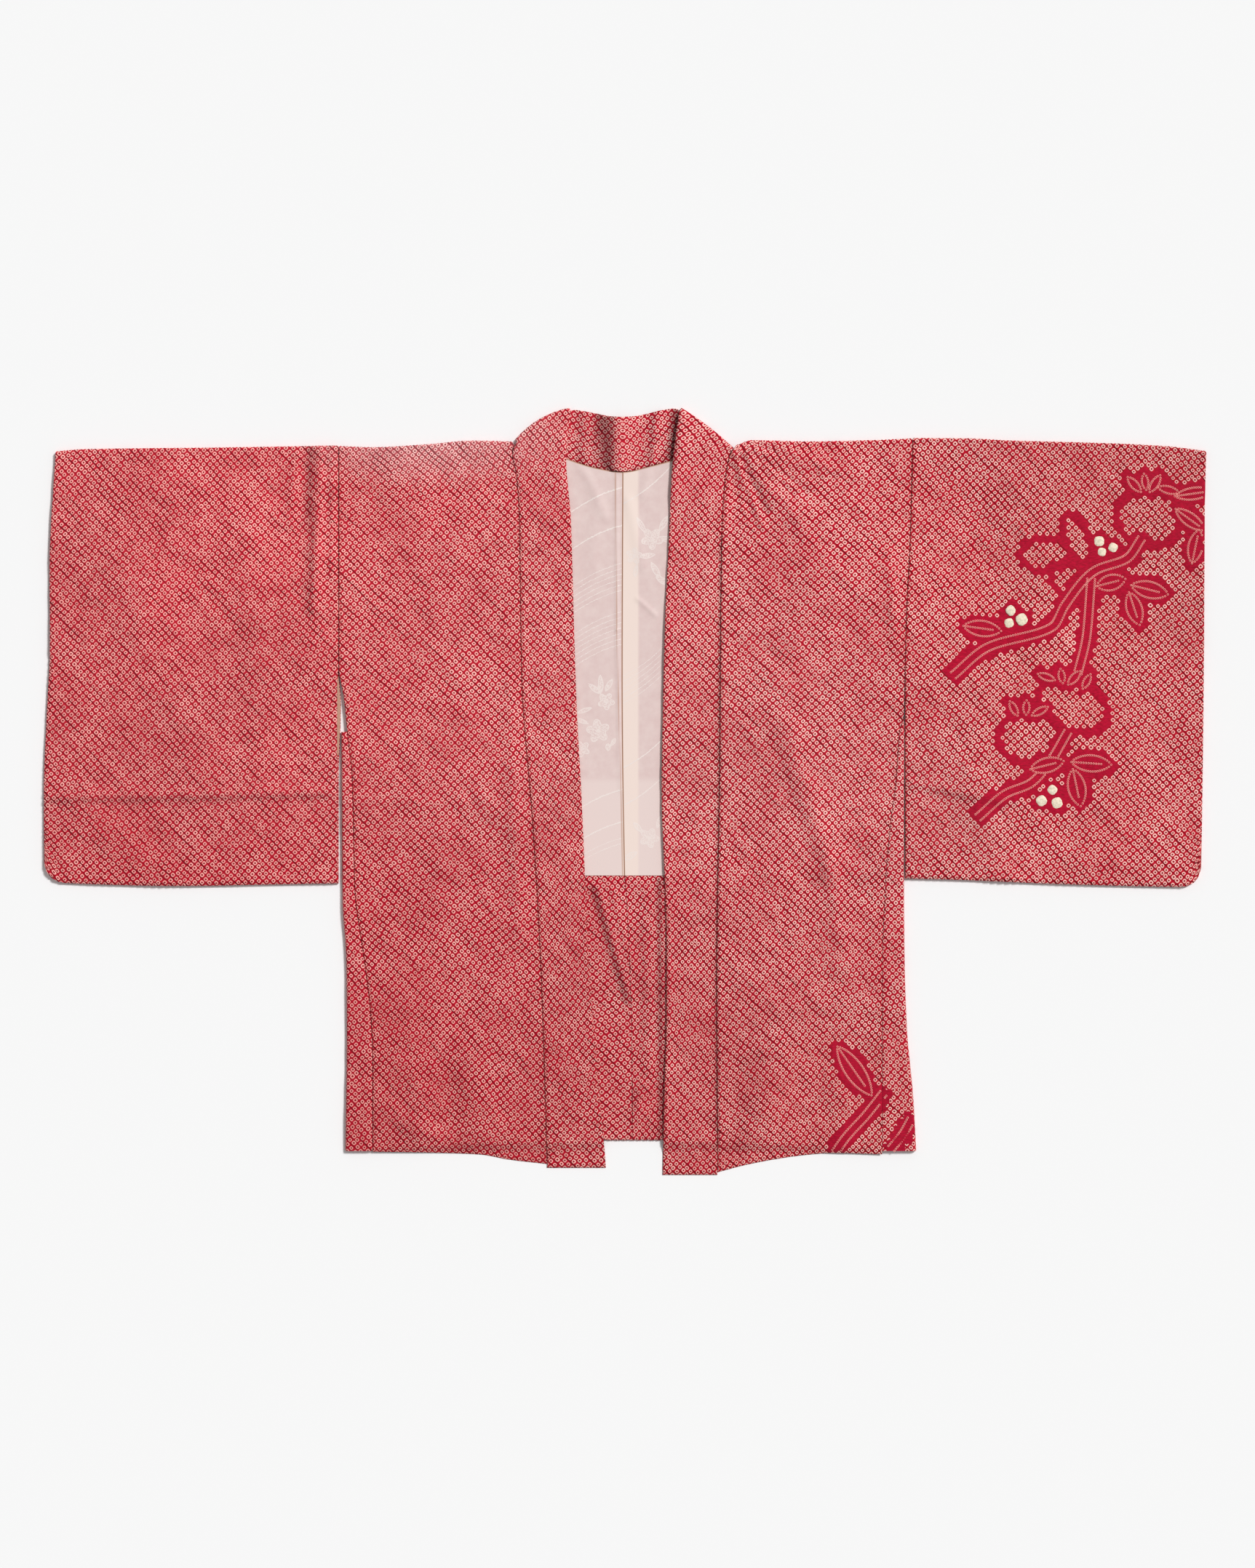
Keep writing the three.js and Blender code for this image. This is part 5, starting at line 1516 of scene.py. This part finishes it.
def figured_damask(colours):
    """Satin-figured silk lining: the same pink thread shines where the satin floats, so its woven
    lines and sprigs show paler and glossier than the matt ground."""
    material, tree, shader = start_material("satin_figured_silk")
    where = add(tree, "ShaderNodeTexCoord").outputs["Object"]
    place = add(tree, "ShaderNodeSeparateXYZ", None, {0: where}).outputs
    # Lines 0.9 mm wide with a serrated edge, from steps of 1.5 mm in the weave.
    row, shown, sprig_in, pleat = (
        add(tree, "ShaderNodeAttribute", {"attribute_name": name}).outputs["Fac"]
        for name in ("row", "shown", "sprig", "pleat")
    )
    steps = add(
        tree, "ShaderNodeTexNoise", None, {"Vector": where, "Scale": 1 / (1.5 * MM), "Detail": 0.0}
    ).outputs[0]
    lacy = add(
        tree, "ShaderNodeMapRange", None, {VALUE: steps, LOW: 0.38, HIGH: 0.62, AT_LOW: 0.15, AT_HIGH: 0.8}
    ).outputs[0]
    stepped = add(
        tree, "ShaderNodeMapRange", None, {VALUE: steps, AT_LOW: -0.9 * MM, AT_HIGH: 0.9 * MM}
    ).outputs[0]
    edge = add(tree, "ShaderNodeMath", {"operation": "ADD"}, {0: row, 1: stepped}).outputs[0]
    to_line = add(
        tree, "ShaderNodeMath", {"operation": "PINGPONG"}, {0: edge, 1: FIGURE_ROW / 2 * MM}
    ).outputs[0]
    wide = add(tree, "ShaderNodeMath", {"operation": "MULTIPLY"}, {0: shown, 1: 0.42 * MM}).outputs[0]
    over = add(tree, "ShaderNodeMath", {"operation": "SUBTRACT"}, {0: wide, 1: to_line}).outputs[0]
    lines = add(
        tree, "ShaderNodeMapRange", SMOOTHLY, {VALUE: over, LOW: -0.1 * MM, HIGH: 0.3 * MM}
    ).outputs[0]
    # A sprig's petals are half figured, and fully at their rims.
    rim = add(tree, "ShaderNodeMath", {"operation": "ABSOLUTE"}, {0: sprig_in}).outputs[0]
    rimmed = add(
        tree,
        "ShaderNodeMapRange",
        SMOOTHLY,
        {VALUE: rim, LOW: 0.3 * MM, HIGH: 0.8 * MM, AT_LOW: 0.8, AT_HIGH: 0.0},
    ).outputs[0]
    filled = add(
        tree,
        "ShaderNodeMapRange",
        SMOOTHLY,
        {VALUE: sprig_in, LOW: -0.1 * MM, HIGH: 0.4 * MM, AT_HIGH: lacy},
    ).outputs[0]
    sprigs = add(tree, "ShaderNodeMath", {"operation": "MAXIMUM"}, {0: rimmed, 1: filled}).outputs[0]
    figured = add(tree, "ShaderNodeMath", {"operation": "MAXIMUM"}, {0: sprigs, 1: lines}).outputs[0]

    # The ground is cloudy, and paler at the bottom and along the selvedge strip beside the seam.
    cloud = add(
        tree, "ShaderNodeTexNoise", None, {"Vector": where, "Scale": 1 / (9 * MM), "Detail": 4.0}
    ).outputs[0]
    clouded = add(
        tree, "ShaderNodeMapRange", None, {VALUE: cloud, LOW: 0.3, HIGH: 0.7, AT_LOW: 0.0, AT_HIGH: 0.4}
    ).outputs[0]
    low = add(
        tree,
        "ShaderNodeMapRange",
        SMOOTHLY,
        {VALUE: place["Y"], LOW: 0.008, HIGH: 0.02, AT_LOW: 0.62, AT_HIGH: 0.0},
    ).outputs[0]
    strip_from = add(
        tree, "ShaderNodeMapRange", SMOOTHLY, {VALUE: place["X"], LOW: -0.0035, HIGH: -0.002}
    ).outputs[0]
    strip_to = add(
        tree,
        "ShaderNodeMapRange",
        SMOOTHLY,
        {VALUE: place["X"], LOW: 0.013, HIGH: 0.017, AT_LOW: 1.0, AT_HIGH: 0.0},
    ).outputs[0]
    strip = add(tree, "ShaderNodeMath", {"operation": "MULTIPLY"}, {0: strip_from, 1: strip_to}).outputs[0]
    ground, ground_pale, figure, selvedge, thread = (
        (*getattr(colours, n), 1) for n in ("lining", "lining_pale", "figure", "selvedge", "thread")
    )
    paler = add(tree, "ShaderNodeMath", {"operation": "MAXIMUM"}, {0: clouded, 1: low}).outputs[0]
    base = add(
        tree, "ShaderNodeMix", COLOURS, {FACTOR: paler, FIRST: ground, SECOND: ground_pale}
    ).outputs[MIXED]
    stripped = add(
        tree, "ShaderNodeMix", COLOURS, {FACTOR: strip, FIRST: base, SECOND: selvedge}
    ).outputs[MIXED]
    woven = add(
        tree, "ShaderNodeMix", COLOURS, {FACTOR: figured, FIRST: stripped, SECOND: figure}
    ).outputs[MIXED]
    # Brown-orange sewing thread and shadow along the centre seam, and along the neck.
    uv = add(tree, "ShaderNodeUVMap", {"uv_map": "cloth"}).outputs["UV"]
    from_edge = add(tree, "ShaderNodeSeparateXYZ", None, {0: uv}).outputs
    from_neck = add(
        tree, "ShaderNodeMath", {"operation": "MULTIPLY"}, {0: from_edge["Y"], 1: 0.5}
    ).outputs[0]
    nearest = add(
        tree, "ShaderNodeMath", {"operation": "MINIMUM"}, {0: from_edge["X"], 1: from_neck}
    ).outputs[0]
    seam_thread_and_shadow = add(
        tree,
        "ShaderNodeMapRange",
        SMOOTHLY,
        {VALUE: nearest, LOW: 0.3 * MM, HIGH: 0.9 * MM, AT_LOW: 0.85, AT_HIGH: 0.0},
    ).outputs[0]
    # The pleat beside the seam shades a thin line.
    pleat_shade = add(
        tree,
        "ShaderNodeMapRange",
        SMOOTHLY,
        {VALUE: pleat, LOW: 0.3 * MM, HIGH: 1.3 * MM, AT_LOW: 0.55, AT_HIGH: 0.0},
    ).outputs[0]
    # Thread and painted shade along the seams and beside the pleat, both in the thread colour.
    thread_and_shade = add(tree, "ShaderNodeMath", {"operation": "MAXIMUM"}, {0: seam_thread_and_shadow, 1: pleat_shade}).outputs[0]
    final = add(
        tree, "ShaderNodeMix", COLOURS, {FACTOR: thread_and_shade, FIRST: woven, SECOND: thread}
    ).outputs[MIXED]
    tree.links.new(final, shader.inputs["Base Color"])
    rough = add(tree, "ShaderNodeMapRange", None, {VALUE: figured, AT_LOW: 0.62, AT_HIGH: 0.36}).outputs[0]
    tree.links.new(rough, shader.inputs["Roughness"])
    # Thread spacing 0.5 mm, drawn coarser than the real 0.1 mm so that it shows.
    fine = add(
        tree, "ShaderNodeTexNoise", None, {"Vector": where, "Scale": 1 / (1.0 * MM), "Detail": 2.0}
    ).outputs[0]
    height = add(
        tree, "ShaderNodeMath", {"operation": "MULTIPLY_ADD"}, {0: fine, 1: 0.6, 2: figured}
    ).outputs[0]
    bump = add(tree, "ShaderNodeBump", None, {"Height": height, "Strength": 0.35, "Distance": 0.12 * MM})
    tree.links.new(bump.outputs[0], shader.inputs["Normal"])
    shader.inputs["Sheen Weight"].default_value = 0.05
    return material


# ---- what a user may change ----
def colour(name, description, code):
    """A colour that a user may change."""
    return FloatVectorProperty(
        name=name, description=description, subtype="COLOR", default=linear(code), min=0, max=1
    )


class HaoriColours(bpy.types.PropertyGroup):
    """Colours of the dye, of the painted shade and reflection over it, and of the lining."""

    ground: colour("Ground", "Crimson of the dyed cloth", "#BE142C")
    # Painted shade: the colour of the furrows along one bias direction.
    furrow: colour("Furrow", "Deepest crimson, in the furrows between points", "#9C1022")
    ring: colour("Ring", "Pale ring that each binding kept from the dye", "#FFCBC2")
    # Painted reflection: the ring colour towards the right sleeve.
    ring_in_reflection: colour("Warm ring", "The same ring towards the right sleeve", "#FFB3AB")
    dimple: colour("Dimple", "Dark spot in the middle of a point", "#861220")
    bare_low: colour("Bare, deep", "Crimson of the bare parts, in their crinkle", "#9C0826")
    bare_high: colour("Bare, bright", "Crimson of the bare parts, on their crinkle", "#C41036")
    chain: colour("Chain", "Small points of the design", "#FFA79F")
    berry: colour("Berry", "Undyed silk of the berries", "#F7E9CF")
    lining: colour("Lining", "Pink ground of the damask", "#DDC3BF")
    lining_pale: colour("Pale lining", "Paler clouds of the ground", "#EDDBD5")
    selvedge: colour("Selvedge", "Cream strip beside the centre seam", "#F0DCD2")
    figure: colour("Figure", "Paler woven figure of the damask", "#EFE1DB")
    # Also the colour of the painted shade along the seams and beside the pleat.
    thread: colour("Thread", "Sewing thread along the seams", "#B88463")


class HaoriCloth(bpy.types.PropertyGroup):
    """Sizes of the worked cloth."""

    depth: FloatProperty(
        name="Point depth",
        description="From a point's crest down to its furrow, in millimetres",
        default=0.9,
        min=0,
        max=1,
        unit="NONE",
    )


class HaoriStage(bpy.types.PropertyGroup):
    """Floor and light."""

    floor: colour("Floor", "Pale floor", "#F7F7F7")
    key: FloatProperty(name="Key light", description="Soft light from the upper right", default=2.7, min=0)
    softness: FloatProperty(
        name="Softness",
        description="Width of the key light",
        default=math.radians(13),
        min=0,
        max=1.5,
        subtype="ANGLE",
    )
    fill: FloatProperty(name="Fill light", description="Even light from all round", default=0.343, min=0)


# ---- operators ----
class HAORI_OT_body(bpy.types.Operator):
    """Lay out the two body lengths, from the turned-up hem round to the front hems"""

    bl_idname = "haori.body"
    bl_label = "Body"

    def execute(self, context):
        material = crepe_of(context.scene)
        depth = context.scene.haori_cloth.depth
        bare = bare_cloth("hem")
        body("right", material, depth)
        body("left", material, depth, bare)
        gusset("right", material)
        gusset("left", material, bare)
        return {"FINISHED"}


class HAORI_OT_sleeves(bpy.types.Operator):
    """Lay out the two sleeves"""

    bl_idname = "haori.sleeves"
    bl_label = "Sleeves"

    def execute(self, context):
        material = crepe_of(context.scene)
        depth = context.scene.haori_cloth.depth
        sleeve("right", material, depth)
        sleeve("left", material, depth, bare_cloth("sleeve"))
        return {"FINISHED"}


class HAORI_OT_collar(bpy.types.Operator):
    """Lay the collar strip up one front, round the neck and down the other"""

    bl_idname = "haori.collar"
    bl_label = "Collar"

    def execute(self, context):
        scene = context.scene
        collar(crepe_of(scene), scene.haori_cloth.depth)
        return {"FINISHED"}


class HAORI_OT_lining(bpy.types.Operator):
    """Lay in the lining where it shows"""

    bl_idname = "haori.lining"
    bl_label = "Lining"

    def execute(self, context):
        material = figured_damask(context.scene.haori_colours)
        for side in SIDES:
            lining(side, material)
        sleeve_lining(material)
        return {"FINISHED"}


class HAORI_OT_design(bpy.types.Operator):
    """Set out the worked design's chains and berries on the left sleeve and the left front hem"""

    bl_idname = "haori.design"
    bl_label = "Worked design"

    def execute(self, context):
        colours = context.scene.haori_colours
        small = bound_silk("bound_silk_points", [c * 0.8 for c in colours.chain], colours.chain, 1.6)
        capped = bound_silk("capped_silk_tufts", [c * 0.72 for c in colours.berry], colours.berry, 2.2)
        for part in BRANCHES:
            chains(part, small)
        berries("sleeve", capped)
        return {"FINISHED"}


def crepe_of(scene):
    """The one crepe that all outer pieces are cut from."""
    return bpy.data.materials.get("tie_dyed_silk_crepe") or kanoko_crepe(scene.haori_colours)


VIEW_HEIGHT = 1746  # millimetres of floor from the bottom to the top of the view
VIEW_CENTRE = (2.8, 8.1)
LENS = 90
SENSOR = 36
# In metres: the floor is wide enough for views from low down, and just clear of the back.
FLOOR_WIDTH = 80
FLOOR_TOP = -0.0004
FARTHEST_SEEN = 100
KEY_FROM = (1.8, 1.6, 2.9)


class HAORI_OT_stage(bpy.types.Operator):
    """Put down the floor, the lights and the camera"""

    bl_idname = "haori.stage"
    bl_label = "Stage"

    def execute(self, context):
        scene = context.scene
        settings = scene.haori_stage
        bpy.ops.object.select_all(action="DESELECT")
        bpy.ops.mesh.primitive_plane_add(size=FLOOR_WIDTH, location=(0, 0, FLOOR_TOP))
        floor = context.object
        floor.name = "floor"
        material, _, shader = start_material("matt_paper")
        shader.inputs["Base Color"].default_value = (*settings.floor, 1)
        shader.inputs["Roughness"].default_value = 1.0
        shader.inputs["Specular IOR Level"].default_value = 0.0
        floor.data.materials.append(material)
        floor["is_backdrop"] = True

        world = bpy.data.worlds.new("studio")
        world.use_nodes = True
        background = world.node_tree.nodes["Background"]
        background.inputs["Color"].default_value = (1, 1, 1, 1)
        background.inputs["Strength"].default_value = settings.fill
        scene.world = world

        bpy.ops.object.light_add(type="SUN", location=KEY_FROM)
        key = context.object
        key.name = "key"
        key.data.angle = settings.softness
        key.data.energy = settings.key
        key.rotation_euler = key.location.to_track_quat("Z", "Y").to_euler()

        height = VIEW_HEIGHT * LENS / SENSOR
        place = (VIEW_CENTRE[0] * MM, VIEW_CENTRE[1] * MM, height * MM)
        bpy.ops.object.camera_add(location=place, rotation=(0, 0, 0))
        camera = context.object
        camera.data.lens = LENS
        camera.data.sensor_width = SENSOR
        camera.data.clip_end = FARTHEST_SEEN
        scene.camera = camera
        scene.view_settings.view_transform = "Standard"
        return {"FINISHED"}


STEPS = (HAORI_OT_lining, HAORI_OT_design, HAORI_OT_body, HAORI_OT_sleeves, HAORI_OT_collar, HAORI_OT_stage)


class HAORI_PT_panel(bpy.types.Panel):
    """Pieces of the haori, and what may be changed"""

    bl_idname = "HAORI_PT_panel"
    bl_label = "Haori"
    bl_space_type = "VIEW_3D"
    bl_region_type = "UI"
    bl_category = "Haori"

    def draw(self, context):
        for group in GROUPS:
            settings = getattr(context.scene, group)
            for name in settings.__annotations__:
                self.layout.prop(settings, name)
        for step in STEPS:
            self.layout.operator(step.bl_idname)


GROUPS = {"haori_cloth": HaoriCloth, "haori_colours": HaoriColours, "haori_stage": HaoriStage}


def register():
    for item in (*GROUPS.values(), *STEPS, HAORI_PT_panel):
        bpy.utils.register_class(item)
    for name, group in GROUPS.items():
        setattr(bpy.types.Scene, name, PointerProperty(type=group))


def unregister():
    for name in GROUPS:
        delattr(bpy.types.Scene, name)
    for item in reversed((*GROUPS.values(), *STEPS, HAORI_PT_panel)):
        bpy.utils.unregister_class(item)


def main():
    register()
    for step in STEPS:
        group, name = step.bl_idname.split(".")
        getattr(getattr(bpy.ops, group), name)()
    boxes = {"cad": cad_box, "visual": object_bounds()}
    {name: [list(corner) for corner in box] for name, box in boxes.items()}


if __name__ == "__main__":
    main()
